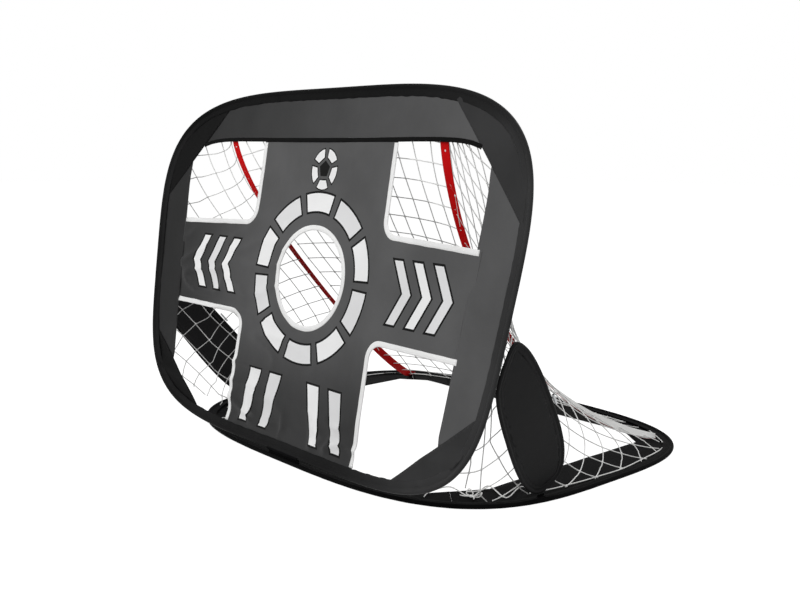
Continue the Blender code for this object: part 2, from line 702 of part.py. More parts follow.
def wing_foot():
    """The wing's lowest point, on the middle of its sleeve."""
    lowest = min(even_outline(wing_edge, 0, WING_POINTS), key=lambda p: p.y)
    rise = lowest.y + WING_SLEEVE_R
    return Vector((WING_FOOT_X + rise * math.sin(WING_TILT), lowest.x, rise * math.cos(WING_TILT)))


def wing(side, sign):
    out, back, up = WING_PIVOT
    place = Matrix.Translation((sign * (WING_FOOT_X + out), HINGE.y + back, up))
    pivot = empty(f"{side}_wing_pivot", place)
    back = -math.pi / 2
    path = hoop_points(wing_edge, WING_SLEEVE_R, WING_POINTS, back)
    hoop = rod_mesh(path, WING_HOOP_D, "wing_hoop")
    tube = turned_tube(WING_HOOP_D / 2 + CLEARANCE, WING_FERRULE_R, WING_FERRULE_LENGTH, "wing_ferrule")
    tube.transform(ferrule_matrix(wing_edge, WING_SLEEVE_R, back))
    profile = sleeve_profile(WING_POCKET_R, WING_SLEEVE_R, WING_SLEEVE_WIDTH, False)
    sleeve = swept_mesh(even_outline(wing_edge, 0, WING_POINTS, back), profile, "wing_sleeve")
    leaf = flat_mesh([even_outline(wing_edge, WING_SLEEVE_WIDTH - WING_SEAM_IN, WING_POINTS, back)],
                     FABRIC, "wing_panel")
    for part, mesh, mat in (("hoop", hoop, STEEL), ("hoop_ferrule", tube, STEEL),
                            ("sleeve", sleeve, BLACK), ("panel", leaf, BLACK)):
        wing_piece(f"{side}_wing_{part}", mesh, mat, pivot, sign)


def foot_tabs():
    """Upright tabs on the floor fabric that carry the lowest point of each wing."""
    x, middle, axis_z = wing_foot()
    top = axis_z - WING_SLEEVE_R - CLEARANCE
    foot = BAND_Z + FABRIC / 2 + CLEARANCE
    half = TAB_THICK / 2
    under, over = foot + TAB_THICK, foot + 3 * TAB_THICK
    riser = edge_half_width(even_outline(base_edge, SLEEVE_WIDTH, 2 * BASE_POINTS),
                            middle - TAB_LENGTH / 2) - TAB_IN
    section = ((riser - TAB_WIDTH, foot), (riser, foot), (riser + half, under + half),
               (x + half, over), (x + half, top), (x - half, top), (x - half, over + half),
               (riser - half, under + half), (riser - TAB_WIDTH, under))
    for side, sign in (("right", 1), ("left", -1)):
        name = f"{side}_foot_tab"
        rings = [[(sign * across, y, z) for across, z in section]
                 for y in (middle - TAB_LENGTH / 2, middle + TAB_LENGTH / 2)]
        floor_piece(name, loft(name, rings), BLACK)


def behind_panel(point, gap):
    """The point, moved back where it lies nearer than the gap behind the front frame."""
    local = (PANEL_MATRIX @ PANEL_SHIFT).inverted() @ point
    local.z = min(local.z, bow(local.x) - gap)
    return PANEL_MATRIX @ PANEL_SHIFT @ local


def net_frame_edge():
    """The line on the front frame that the net hangs from."""
    return even_outline(panel_edge, NET_EDGE, 2 * PANEL_POINTS)


def net_floor_edge():
    """The line on the floor fabric that the net is tied to."""
    return even_outline(base_edge, NET_FLOOR_EDGE, 2 * BASE_POINTS)


def on_floor(point):
    return Vector((point.x, point.y, BAND_Z + FABRIC / 2 + CLEARANCE + STRAND / 2))


def net_fall(side, share, gap=NET_BEHIND):
    """A point of the net between the tapes, which are at side -1 and 1; the share runs downwards."""
    x = side * TAPE_TOP_X
    top = panel_point(x, edge_height(FRAME_TIES, x)[1], -gap)
    x = side * TAPE_FOOT_X
    floor = on_floor(Vector((x, edge_height(FLOOR_TIES, x)[1])))
    aside, back, below = TAPE_UPPER_PULL
    upper = Vector((side * (PANEL_SIDE - aside), HINGE.y + back, PANEL_HEIGHT - below))
    aside, forward, above = TAPE_LOWER_PULL
    lower = Vector((side * (TAPE_FOOT_X - aside), floor.y - forward, above))
    rest = 1 - share
    point = (rest ** 3 * top + 3 * rest ** 2 * share * upper
             + 3 * rest * share ** 2 * lower + share ** 3 * floor)
    return behind_panel(point, gap)


def along(points, share):
    """The place at a share of a line's length."""
    lengths = [(b - a).length for a, b in zip(points, points[1:])]
    left = share * sum(lengths)
    for a, b, length in zip(points, points[1:], lengths):
        if left <= length:
            return a.lerp(b, left / length)
        left -= length
    return points[-1].copy()


def back_net_point(across, down):
    side = 2 * across - 1
    point = net_fall(side, down)
    point.x -= side * TAPE_TO_NET
    return behind_panel(point, NET_BEHIND)


def side_net_lines():
    """The right net's edges: down the front frame, along the tape, and along the floor."""
    aside = Vector((TAPE_TO_NET, 0, 0))
    top_x, foot_x = TAPE_TOP_X + TAPE_TO_NET, TAPE_FOOT_X + TAPE_TO_NET
    foot_at = crossings(FRAME_TIES, ((0, NET_FOOT_HEIGHT), (1, NET_FOOT_HEIGHT)))[0]
    top_at = crossings(FRAME_TIES, ((top_x, 0), (top_x, 1)))[1]
    frame = [panel_point(*p, -NET_BEHIND) for p in stretch(FRAME_TIES, foot_at, top_at)[::-1]]
    tape = [net_fall(1, i / TAPE_STEPS) + aside for i in range(TAPE_STEPS + 1)]
    front_at = crossings(FLOOR_TIES, ((NET_FOOT_X, -1), (NET_FOOT_X, 1)))[0]
    back_at = crossings(FLOOR_TIES, ((foot_x, -1), (foot_x, 1)))[1]
    floor = [frame[-1]] + [on_floor(p) for p in stretch(FLOOR_TIES, front_at, back_at)]
    return frame, tape, floor


def side_net_point(across, down):
    frame, tape, floor = SIDE_LINES
    point = along(frame, down).lerp(along(tape, down), across)
    edge = frame[-1].lerp(tape[-1], across)
    point += (along(floor, across) - edge) * down ** 2
    point.z -= NET_SIDE_SAG * math.sin(math.pi * across) * math.sin(math.pi * down)
    return behind_panel(point, NET_BEHIND)


def net(name, place, cells, sign=1):
    """Diamond mesh: a poked grid without its own inner edges, laid on a surface, as strands."""
    mesh = bpy.data.meshes.new(name)
    bm = bmesh.new()
    bmesh.ops.create_grid(bm, x_segments=cells, y_segments=NET_ROWS, size=0.5)
    inner = [edge for edge in bm.edges if not edge.is_boundary]
    bmesh.ops.poke(bm, faces=bm.faces)
    bmesh.ops.dissolve_edges(bm, edges=inner, use_verts=False)
    for vert in bm.verts:
        point = place(vert.co.x + 0.5, 0.5 - vert.co.y)
        vert.co = (sign * point.x, point.y, point.z)
    bm.to_mesh(mesh)
    bm.free()
    obj = link_mesh(name, mesh, CORD)
    strands = obj.modifiers.new("strands", "WIREFRAME")
    strands.thickness = STRAND
    strands.offset = 0
    strands.use_even_offset = False
    strands.use_boundary = True


def nets():
    net("back_net", back_net_point, NET_BACK_CELLS)
    net("right_net", side_net_point, NET_SIDE_CELLS)
    net("left_net", side_net_point, NET_SIDE_CELLS, -1)


def seam_tapes():
    """The tapes over the seams between the back net and the side nets."""
    line = [net_fall(1, i / TAPE_STEPS, TAPE_BEHIND) for i in range(TAPE_STEPS + 1)]
    wide = Vector((TAPE_WIDTH / 2, 0, 0))
    for side, sign in (("right", 1), ("left", -1)):
        rings = []
        for i, point in enumerate(line):
            ahead = line[min(i + 1, TAPE_STEPS)] - line[max(i - 1, 0)]
            thick = wide.cross(ahead).normalized() * TAPE_THICK / 2
            corners = (point - wide - thick, point + wide - thick, point + wide + thick, point - wide + thick)
            rings.append([(sign * p.x, p.y, p.z) for p in corners])
        name = f"{side}_seam_tape"
        floor_piece(name, loft(name, rings), RED)


FRAME_TIES = net_frame_edge()
FLOOR_TIES = net_floor_edge()
SIDE_LINES = side_net_lines()

front_hoop()
target_sheet()
front_bands()
front_gussets()
top_hem()
bindings()
wing_seams()
base_hoop()
floor_bands()
hinge_strap()
foot_tabs()
wing("right", 1)
wing("left", -1)
nets()
seam_tapes()
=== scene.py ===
# Looks of the folding goal: fabric, seams, printed sheet, knotted net, studio and camera.
# Metres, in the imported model's own frame. Front frame places are (across, up the frame, out).
import json
import math
from functools import partial

import bmesh
import bpy
from mathutils import Matrix, Vector, noise
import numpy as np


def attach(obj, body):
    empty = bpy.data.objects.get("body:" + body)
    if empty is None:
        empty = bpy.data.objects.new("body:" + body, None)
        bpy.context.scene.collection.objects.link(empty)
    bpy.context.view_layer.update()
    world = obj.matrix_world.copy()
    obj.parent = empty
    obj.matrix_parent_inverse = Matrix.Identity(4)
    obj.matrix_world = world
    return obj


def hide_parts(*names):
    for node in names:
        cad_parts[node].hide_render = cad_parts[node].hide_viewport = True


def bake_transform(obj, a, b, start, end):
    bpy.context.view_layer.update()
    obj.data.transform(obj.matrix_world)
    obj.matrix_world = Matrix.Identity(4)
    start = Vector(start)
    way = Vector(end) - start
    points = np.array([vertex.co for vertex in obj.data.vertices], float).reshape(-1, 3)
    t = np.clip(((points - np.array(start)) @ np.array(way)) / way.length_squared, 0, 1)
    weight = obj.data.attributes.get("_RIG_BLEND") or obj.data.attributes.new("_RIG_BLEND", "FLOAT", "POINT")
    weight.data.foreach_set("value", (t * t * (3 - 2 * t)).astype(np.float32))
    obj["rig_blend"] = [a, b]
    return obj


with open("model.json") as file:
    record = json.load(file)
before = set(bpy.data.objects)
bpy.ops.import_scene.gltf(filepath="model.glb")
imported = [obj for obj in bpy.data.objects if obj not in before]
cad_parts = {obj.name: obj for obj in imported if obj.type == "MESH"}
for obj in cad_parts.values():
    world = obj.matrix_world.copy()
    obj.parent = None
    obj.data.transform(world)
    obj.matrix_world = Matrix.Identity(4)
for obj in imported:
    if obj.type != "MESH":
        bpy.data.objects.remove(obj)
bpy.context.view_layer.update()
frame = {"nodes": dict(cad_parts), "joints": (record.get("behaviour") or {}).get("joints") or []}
nodes = frame["nodes"]
joints = {joint["name"]: joint for joint in frame["joints"]}
sides = ((1, "right"), (-1, "left"))
print("frame loaded:", len(nodes), "nodes")


# camera, set on the photograph's frame
camera = {
    "place": (1.5238, -1.4277, 0.6003),
    "yaw": -0.8433,
    "pitch": -0.1522,
    "roll": 0.0086,
    "lens": 44.36,
    "sensor": 36,
    "farthest": 60,
}


def makeCamera():
    yaw, pitch, roll = camera["yaw"], camera["pitch"], camera["roll"]
    ahead = Vector((math.sin(yaw) * math.cos(pitch), math.cos(yaw) * math.cos(pitch), math.sin(pitch)))
    right = ahead.cross(Vector((0, 0, 1))).normalized()
    up = right.cross(ahead)
    turnedRight = right * math.cos(roll) + up * math.sin(roll)
    turnedUp = up * math.cos(roll) - right * math.sin(roll)
    data = bpy.data.cameras.new("camera")
    data.lens = camera["lens"]
    data.sensor_width = camera["sensor"]
    data.clip_end = camera["farthest"]
    view = bpy.data.objects.new("camera", data)
    axes = Matrix((turnedRight, turnedUp, -ahead)).transposed().to_4x4()
    view.matrix_world = Matrix.Translation(camera["place"]) @ axes
    bpy.context.scene.collection.objects.link(view)
    bpy.context.scene.camera = view


# lamps (size, power in watts, place) that aim at the goal, and the floor and the light around them
studio = {
    "keyLamp": (1.0, 30, (-0.8, -2.6, 1.3)),
    "fillLamp": (1.8, 24, (2.3, -1.7, 1.6)),
    "topLamp": (1.8, 34, (0.3, 1.2, 2.6)),
    "aim": (0, -0.1, 0.3),
    "worldLight": 0.42,
    "floorSize": 30,
    "floorGlow": 0.88,
    "floorWhite": 0.32,
}


def makeStudio():
    bpy.context.scene.view_settings.view_transform = "Standard"
    for name in ("keyLamp", "fillLamp", "topLamp"):
        size, power, place = studio[name]
        data = bpy.data.lights.new(name, "AREA")
        data.shape = "DISK"
        data.size = size
        data.energy = power
        lamp = bpy.data.objects.new(name, data)
        lamp.location = place
        aim = Vector(studio["aim"]) - Vector(place)
        lamp.rotation_euler = aim.to_track_quat("-Z", "Y").to_euler()
        bpy.context.scene.collection.objects.link(lamp)
    world = bpy.data.worlds.new("studio")
    bpy.context.scene.world = world
    world.use_nodes = True
    tree = world.node_tree
    tree.nodes.clear()
    soft = addNode(tree, "Background", {"Color": (1, 1, 1, 1), "Strength": studio["worldLight"]})
    white = addNode(tree, "Background", {"Color": (1, 1, 1, 1)})
    splitRays(tree, "OutputWorld", soft, white)
    makeFloor()


def setSockets(tree, node, sockets):
    # each socket gets a number, a colour or the output that feeds it
    for socket, value in sockets.items():
        if isinstance(value, bpy.types.NodeSocket):
            tree.links.new(value, node.inputs[socket])
        else:
            node.inputs[socket].default_value = value
    return node


def addNode(tree, kind, sockets, **settings):
    node = tree.nodes.new("ShaderNode" + kind)
    for name, value in settings.items():
        setattr(node, name, value)
    return setSockets(tree, node, sockets)


def newMaterial(name):
    materials[name] = bpy.data.materials.new(name)
    materials[name].use_nodes = True
    return materials[name], materials[name].node_tree


def splitRays(tree, output, lighting, seen):
    # one shader for what the camera, a mirror or glass sees, the other for the light on the pieces
    path = addNode(tree, "LightPath", {})
    direct = path.outputs["Is Camera Ray"]
    for other in ("Is Glossy Ray", "Is Transmission Ray"):
        direct = addNode(tree, "Math", {0: direct, 1: path.outputs[other]}, operation="MAXIMUM").outputs[0]
    mix = addNode(tree, "MixShader", {0: direct, 1: lighting.outputs[0], 2: seen.outputs[0]})
    addNode(tree, output, {"Surface": mix.outputs[0]})


def makeFloor():
    bm = bmesh.new()
    bmesh.ops.create_grid(bm, x_segments=1, y_segments=1, size=studio["floorSize"] / 2)
    floor = newObject("studioFloor", bm)
    mat, tree = newMaterial("studioFloor")
    tree.nodes.clear()
    matt = addNode(tree, "BsdfDiffuse", {"Color": (*[studio["floorWhite"]] * 3, 1)})
    glow = addNode(tree, "Emission", {"Strength": studio["floorGlow"]})
    both = addNode(tree, "AddShader", {0: matt.outputs[0], 1: glow.outputs[0]})
    splitRays(tree, "OutputMaterial", matt, both)
    floor.data.materials.append(mat)


def newObject(name, bm):
    mesh = bpy.data.meshes.new(name)
    bm.to_mesh(mesh)
    bm.free()
    obj = bpy.data.objects.new(name, mesh)
    bpy.context.scene.collection.objects.link(obj)
    return obj


# finishes: colour, roughness, gloss, weave size, weave depth, mottle strength, sheen
finishes = {
    "blackFabric": ((0.0040, 0.0040, 0.0042), 0.60, 0.012, 0.0009, 0.20, 0.25, 0.0),
    # painted light: the front sleeve is a lighter copy of the black fabric, painted as lit, with painted
    # shade on its left and top
    "paintedLitSleeve": ((0.0340, 0.0340, 0.0345), 0.48, 0.03, 0.0009, 0.20, 0.25, 0.0),
    "wingFabric": ((0.0100, 0.0100, 0.0103), 0.55, 0.05, 0.0009, 0.20, 0.15, 0.0),
    "greySheet": ((0.0820, 0.0820, 0.0830), 0.38, 0.11, 0.0007, 0.10, 0.14, 0.0),
    "sheetBack": ((0.0260, 0.0260, 0.0265), 0.50, 0.05, 0.0007, 0.10, 0.14, 0.0),
    "bandFabric": ((0.0860, 0.0860, 0.0870), 0.44, 0.06, 0.0008, 0.15, 0.12, 0.0),
    "gussetFabric": ((0.0330, 0.0330, 0.0335), 0.44, 0.03, 0.0008, 0.15, 0.16, 0.0),
    "hemTape": ((0.0030, 0.0030, 0.0030), 0.60, 0.03, 0.0010, 0.30, 0.15, 0.0),
    "whiteBinding": ((0.84, 0.84, 0.835), 0.50, 0.30, 0.0010, 0.30, 0.07, 0.10),
    "netCord": ((0.80, 0.80, 0.79), 0.62, 0.30, 0.0016, 0.45, 0.10, 0.10),
    "redTape": ((0.60, 0.0040, 0.0050), 0.60, 0.05, 0.0012, 0.30, 0.10, 0.0),
    "paleTape": ((0.66, 0.66, 0.65), 0.60, 0.20, 0.0012, 0.30, 0.10, 0.10),
    "whiteInk": ((0.86, 0.86, 0.86), 0.45, 0.20, 0.0007, 0.10, 0.04, 0.0),
    "greyInk": ((0.74, 0.74, 0.745), 0.45, 0.20, 0.0007, 0.10, 0.04, 0.0),
    "blackInk": ((0.0035, 0.0035, 0.0035), 0.45, 0.05, 0.0007, 0.10, 0.05, 0.0),
}
# painted shade: cloths painted darker towards one side, where the light falls off across them: axis, from,
# to, share of the colour left at from
paintedShade = {
    "greySheet": (("X", -0.44, -0.14, 0.30), ("Z", 0.08, 0.30, 0.29)),
    "bandFabric": (("X", -0.58, 0.50, 0.20),),
    "gussetFabric": (("X", -0.40, 0.40, 0.10),),
    # painted shade on the front sleeve's left and top leaves only its right painted as lit
    "paintedLitSleeve": (("X", 0.12, 0.44, 0.26), ("Z", 0.68, 0.58, 0.30)),
}
# what all the cloths share; blotch is a noise's (scale, detail), rumple a bump's with strength and height
clothLook = {
    "sheenRoughness": 0.4,
    "threadWander": 0.6,
    "rumple": (42, 3, 0.25, 0.0016),
    "blotch": (9, 4),
    "roughnessSpread": 0.07,
    "mottleStops": (0.3, 0.7),
}
steelLook = {"colour": (0.40, 0.41, 0.42), "blotch": (60, 3), "mottle": 0.12, "roughness": (0.28, 0.45)}
materials = {}


def fabric(name):
    # woven cloth: two crossed thread waves as bump, soft mottling of the colour and the gloss, and on some
    # cloths painted shade that darkens one side
    if name in materials:
        return materials[name]
    colour, roughness, gloss, weave, depth, mottle, sheen = finishes[name]
    mat, tree = newMaterial(name)
    place = addNode(tree, "TexCoord", {}).outputs["Object"]
    flat = addNode(tree, "UVMap", {}, uv_map="UVMap").outputs[0]
    threads = []
    for direction in ("X", "Y"):
        wave = addNode(tree, "TexWave", {
            "Vector": flat, "Scale": 2 * math.pi / (20 * weave), "Distortion": clothLook["threadWander"],
            "Detail": 1}, bands_direction=direction)
        threads.append(wave.outputs["Fac"])
    crossed = addNode(tree, "Math", {0: threads[0], 1: threads[1]}, operation="MULTIPLY")
    woven = addNode(tree, "Bump", {"Strength": depth, "Distance": weave / 3, "Height": crossed.outputs[0]})
    scale, detail, strength, height = clothLook["rumple"]
    rumpled = addNode(tree, "Bump", {"Strength": strength, "Distance": height,
                                     "Height": cloud(tree, place, scale, detail), "Normal": woven.outputs[0]})
    blotch = cloud(tree, place, *clothLook["blotch"])
    stray = clothLook["roughnessSpread"]
    setSockets(tree, tree.nodes["Principled BSDF"], {
        "Sheen Weight": sheen,
        "Sheen Roughness": clothLook["sheenRoughness"],
        "Specular IOR Level": gloss,
        "Normal": rumpled.outputs[0],
        # the base colour carries the painted shade towards one side
        "Base Color": tint(tree, blotch, colour, mottle, paintedShadeShare(tree, name, place)),
        "Roughness": spread(tree, blotch, roughness - stray, roughness + stray),
    })
    return mat


def cloud(tree, vector, scale, detail):
    return addNode(tree, "TexNoise", {"Vector": vector, "Scale": scale, "Detail": detail}).outputs["Fac"]


def paintedShadeShare(tree, name, place):
    # the share of the colour that the painted shade leaves at a place, or None
    share = None
    split = addNode(tree, "SeparateXYZ", {0: place})
    for axis, low, high, left in paintedShade.get(name, ()):
        step = addNode(tree, "MapRange", {
            "Value": split.outputs[axis], "From Min": low, "From Max": high, "To Min": left, "To Max": 1,
        }, interpolation_type="SMOOTHSTEP").outputs[0]
        if share is not None:
            step = addNode(tree, "Math", {0: share, 1: step}, operation="MULTIPLY").outputs[0]
        share = step
    return share


def tint(tree, factor, colour, mottle, share=None):
    ramp = addNode(tree, "ValToRGB", {0: factor})
    levels = (1 - mottle, 1 + mottle)
    for element, stop, level in zip(ramp.color_ramp.elements, clothLook["mottleStops"], levels):
        element.position = stop
        element.color = (*[min(1, part * level) for part in colour], 1)
    if share is None:
        return ramp.outputs[0]
    # painted shade: the mottled colour is scaled down towards the darker side
    paintedShadeColour = addNode(tree, "VectorMath", {0: ramp.outputs[0], "Scale": share}, operation="SCALE")
    return paintedShadeColour.outputs[0]


def spread(tree, factor, low, high):
    return addNode(tree, "MapRange", {"Value": factor, "To Min": low, "To Max": high}).outputs[0]


def springSteel():
    if "springSteel" not in materials:
        mat, tree = newMaterial("springSteel")
        place = addNode(tree, "TexCoord", {}).outputs["Object"]
        blotch = cloud(tree, place, *steelLook["blotch"])
        setSockets(tree, tree.nodes["Principled BSDF"], {
            "Metallic": 1,
            "Base Color": tint(tree, blotch, steelLook["colour"], steelLook["mottle"]),
            "Roughness": spread(tree, blotch, *steelLook["roughness"]),
        })
    return materials["springSteel"]


# front frame outline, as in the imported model
frontFrame = {
    "width": 1.10,
    "height": 0.713,
    "taper": 0.13,
    "waist": 0.338,
    "topPower": 3.65,
    "footPower": 4.34,
    "lean": math.radians(10.5),
    "bow": 0.0278,
    "tubeRadius": 0.004,
}
hinge = Vector(joints["front_fold"]["pos_m"])
frameMatrix = Matrix.Translation(hinge) @ Matrix.Rotation(math.pi / 2 - frontFrame["lean"], 4, "X")
frameInverse = frameMatrix.inverted()


def bowAt(x):
    return frontFrame["bow"] * (2 * x / frontFrame["width"]) ** 2


def onFrame(x, up, out=0.0):
    return frameMatrix @ Vector((x, up - frontFrame["tubeRadius"], out + bowAt(x)))


def flatOnFrame(point):
    # across and up the frame of a world point
    local = frameInverse @ point
    return Vector((local.x, local.y + frontFrame["tubeRadius"]))


def squared(angle, power):
    c, s = math.cos(angle), math.sin(angle)
    reach = (abs(c) ** power + abs(s) ** power) ** (-1 / power)
    return reach * c, reach * s


def widening(up):
    return 1 + frontFrame["taper"] * (up / frontFrame["height"] - 0.5)


def frameEdge(angle):
    high = math.sin(angle) > 0
    c, s = squared(angle, frontFrame["topPower"] if high else frontFrame["footPower"])
    reach = frontFrame["height"] - frontFrame["waist"] if high else frontFrame["waist"]
    up = frontFrame["waist"] + reach * s
    return Vector((frontFrame["width"] / 2 * c * widening(up), up))


# floor frame outline; its front edge is drawn nearer to the hinge than the solid's, as in the photograph
floorFrame = {
    "width": 0.978,
    "depth": 0.7839,
    "solidDepth": 0.8106,
    "frontPower": 3.23,
    "backPower": 3.46,
    "hoopRadius": 0.0017,
}


def floorEdge(angle):
    c, s = squared(angle, floorFrame["backPower"] if math.sin(angle) > 0 else floorFrame["frontPower"])
    y = (floorFrame["solidDepth"] - floorFrame["depth"] * (1 - s)) / 2
    return Vector((floorFrame["width"] / 2 * c, y))


def flatOnFloor(point):
    # a place on the solid floor frame, moved to the drawn one
    back = floorFrame["solidDepth"] / 2
    return Vector((point.x, back - (back - point.y) * floorFrame["depth"] / floorFrame["solidDepth"]))


# side wings: each lies in its own leaning plane
wingShape = {
    "footX": 0.457,
    "tilt": math.atan2(0.085, 0.3),
    "centre": (-0.2356, 0.170),
    "length": 0.364,
    "width": 0.111,
    "slant": 0.630,
    "power": 2.8,
    "taper": 0.12,
    "cornerRound": 0.016,
    "seamBehind": 0.007,
    "clothIn": 0.011,
    "tubeRadius": 0.0030,
    "hoopRadius": 0.0014,
    "seamBow": 0.86,
}


def wingEdge(angle):
    c, s = squared(-angle, wingShape["power"])
    slant, tilt, (y, t) = wingShape["slant"], wingShape["tilt"], wingShape["centre"]
    along = wingShape["length"] / 2 * c
    across = wingShape["width"] / 2 * s * (1 - wingShape["taper"] * c)
    y = y - along * math.sin(slant) + across * math.cos(slant)
    t = t + along * math.cos(slant) + across * math.sin(slant)
    seam = hinge.y - frontFrame["bow"] * wingShape["seamBow"]
    seam += (t * math.cos(tilt) - hinge.z) * math.tan(frontFrame["lean"]) + wingShape["seamBehind"]
    return Vector(((y + seam + math.hypot(y - seam, wingShape["cornerRound"])) / 2, t))


def onWing(side, y, t, out=0.0):
    # out is away from the goal's middle
    c, s = math.cos(wingShape["tilt"]), math.sin(wingShape["tilt"])
    return Vector((side * (wingShape["footX"] + t * s + out * c), y, t * c - out * s))


def runLengths(points):
    # how far each point is along the line through them
    lengths = [0.0]
    for a, b in zip(points, points[1:]):
        lengths.append(lengths[-1] + (b - a).length)
    return lengths


def evenLoop(edge, count, fine=1440):
    # places at even steps round an edge from its lowest point, each with the direction inwards
    raw = [edge(2 * math.pi * i / fine - math.pi / 2) for i in range(fine)]
    lengths = runLengths(raw + raw[:1])
    loop, at = [], 0
    for k in range(count):
        target = lengths[-1] * k / count
        while lengths[at + 1] < target:
            at += 1
        share = (target - lengths[at]) / (lengths[at + 1] - lengths[at])
        heading = raw[(at + 3) % fine] - raw[(at - 2) % fine]
        inwards = Vector((-heading.y, heading.x)).normalized()
        loop.append((raw[at].lerp(raw[(at + 1) % fine], share), inwards))
    return loop, lengths[-1]


def skin(across, along, place, size):
    # a grid laid on a surface; size gives its UV in metres
    bm = bmesh.new()
    bmesh.ops.create_grid(bm, x_segments=across, y_segments=along, size=0.5)
    uv = bm.loops.layers.uv.new("UVMap")
    for face in bm.faces:
        for corner in face.loops:
            share = corner.vert.co
            corner[uv].uv = ((share.x + 0.5) * size[0], (share.y + 0.5) * size[1])
    for vert in bm.verts:
        vert.co = place(vert.co.x + 0.5, vert.co.y + 0.5)
    bmesh.ops.remove_doubles(bm, verts=bm.verts, dist=1e-6)
    bmesh.ops.recalc_face_normals(bm, faces=bm.faces)
    return bm


def thicken(obj, thickness):
    wall = obj.modifiers.new("wall", "SOLIDIFY")
    wall.thickness = thickness
    wall.offset = 0
    return wall


def finishPiece(obj, finish, body, slot, *replaced):
    obj.data.materials.append(springSteel() if finish == "springSteel" else fabric(finish))
    obj.data.shade_smooth()
    if body == "between":
        hangBetween(obj)
    else:
        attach(obj, body)
    if replaced:
        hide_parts(*replaced)
    return obj


def hangBetween(obj):
    # a net or tape hangs from the front frame to the floor. A share along one straight line would tear it
    # from its ties or send it under the floor, so each vertex gets its own, by its angle about the hinge.
    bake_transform(obj, "base", "front_frame", start=(0, 0.3, 0), end=(0, -0.2, 0.7))
    opening = math.pi / 2 - frontFrame["lean"]
    for vert, share in zip(obj.data.vertices, obj.data.attributes["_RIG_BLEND"].data):
        share.value = clamp(math.atan2(vert.co.z - hinge.z, vert.co.y - hinge.y) / opening)


def faceForward(obj):
    # the front side first, for pieces with another finish behind
    if sum((p.normal for p in obj.data.polygons), Vector()).y > 0:
        obj.data.flip_normals()


def clamp(value):
    return min(1.0, max(0.0, value))


def smooth(value):
    return value * value * (3 - 2 * value)


def ring(name, edge, count, across, section, place, around):
    # a closed band along an edge; section gives (inwards, out) for a share across and a turn
    loop, length = evenLoop(edge, count)

    def point(u, v):
        k = round(v * count) % count
        spot, inwards = loop[k]
        a, b = section(u, 2 * math.pi * k / count, length)
        flat = spot + inwards * a
        return place(flat.x, flat.y, b)

    return newObject(name, skin(across, count, point, (around, length)))


def ripple(a, b, seed):
    # smooth noise from -1 to 1
    return noise.noise(Vector((a, b, seed * 7.31)))


def crease(a, b, seed, sharp=3):
    # thin raised folds from 0 to 1
    return (1 - min(1, abs(ripple(a, b, seed)) * 2.2)) ** sharp


# sleeves: a fabric pocket round the hoop and two leaves that are sewn together
sleeveShape = {
    "wall": 0.0006,
    "pucker": 0.0006,
    "puckerScale": 9,
    "lipScale": 40,
    "leafHalf": 0.0011,
    "stitchIn": 0.0015,
    "lip": 0.0012,
    "furrow": 0.0016,
    "pocketTurn": math.radians(125),
    "footPress": 0.3,
    "lowest": 0.0003,
    "frameWidth": 0.022,
    "wingWidth": 0.014,
}


def sleeveSection(radius, width, flatFoot):
    # (inwards from the edge, out) from one leaf's lip round the pocket to the other's
    leaf, lip, seam = sleeveShape["leafHalf"], sleeveShape["lip"], 2 * radius + sleeveShape["stitchIn"]
    front = [(width, leaf * 0.55), (width - lip, leaf), ((width + seam) / 2, leaf * 1.1),
             (seam + sleeveShape["furrow"], leaf * 1.1), (seam, leaf * 0.75), (seam - lip, leaf * 1.2)]
    turns = [sleeveShape["pocketTurn"] * (1 - i / 6) for i in range(13)]
    arc = [(radius - radius * math.cos(turn), radius * math.sin(turn)) for turn in turns]
    points = front + arc + [(a, -b) for a, b in reversed(front)]
    if not flatFoot:
        return points
    low, press = -radius, sleeveShape["footPress"]
    return [(a, max(b, low) if b > 0 or a < radius else low + (b + leaf * 1.2) * press) for a, b in points]


def sleeve(name, edge, count, section, place, finish, body, node, seed):
    width = max(a for a, b in section)
    pucker, scale, lipScale = (sleeveShape[key] for key in ("pucker", "puckerScale", "lipScale"))

    def puckered(u, turn, length):
        a, b = section[round(u * (len(section) - 1))]
        c, s, fade = math.cos(turn), math.sin(turn), a / width
        wave = ripple(c * length * scale, s * length * scale, seed)
        b += pucker * wave * (0.25 + fade) * (1 if b > 0 else -1)
        return a + pucker * ripple(c * lipScale, s * lipScale, seed + 3) * 2 * fade, b

    around = sum(math.dist(section[i], section[i + 1]) for i in range(len(section) - 1))
    obj = ring(name, edge, count, len(section) - 1, puckered, place, around)
    thicken(obj, sleeveShape["wall"])
    return finishPiece(obj, finish, body, "black_fabric", node)


def makeSleeves():
    radius = frontFrame["tubeRadius"]
    section = sleeveSection(radius, sleeveShape["frameWidth"], False)
    # the front sleeve's finish holds painted light and shade
    sleeve("front_frame_sleeve", frameEdge, 420, section, onFrame, "paintedLitSleeve", "front_frame",
           "front_sleeve", 1)
    section = sleeveSection(radius, sleeveShape["frameWidth"], True)
    sleeve("floor_frame_sleeve", floorEdge, 380, section,
           lambda x, y, out: Vector((x, y, max(out + radius, sleeveShape["lowest"]))), "blackFabric", "base",
           "base_sleeve", 2)
    section = sleeveSection(wingShape["tubeRadius"], sleeveShape["wingWidth"], False)
    for side, word in sides:
        sleeve(f"{word}_wing_edge_sleeve", wingEdge, 240, section, partial(onWing, side), "wingFabric",
               f"{word}_wing", f"{word}_wing_sleeve", 4 + side)
    print("sleeves done")


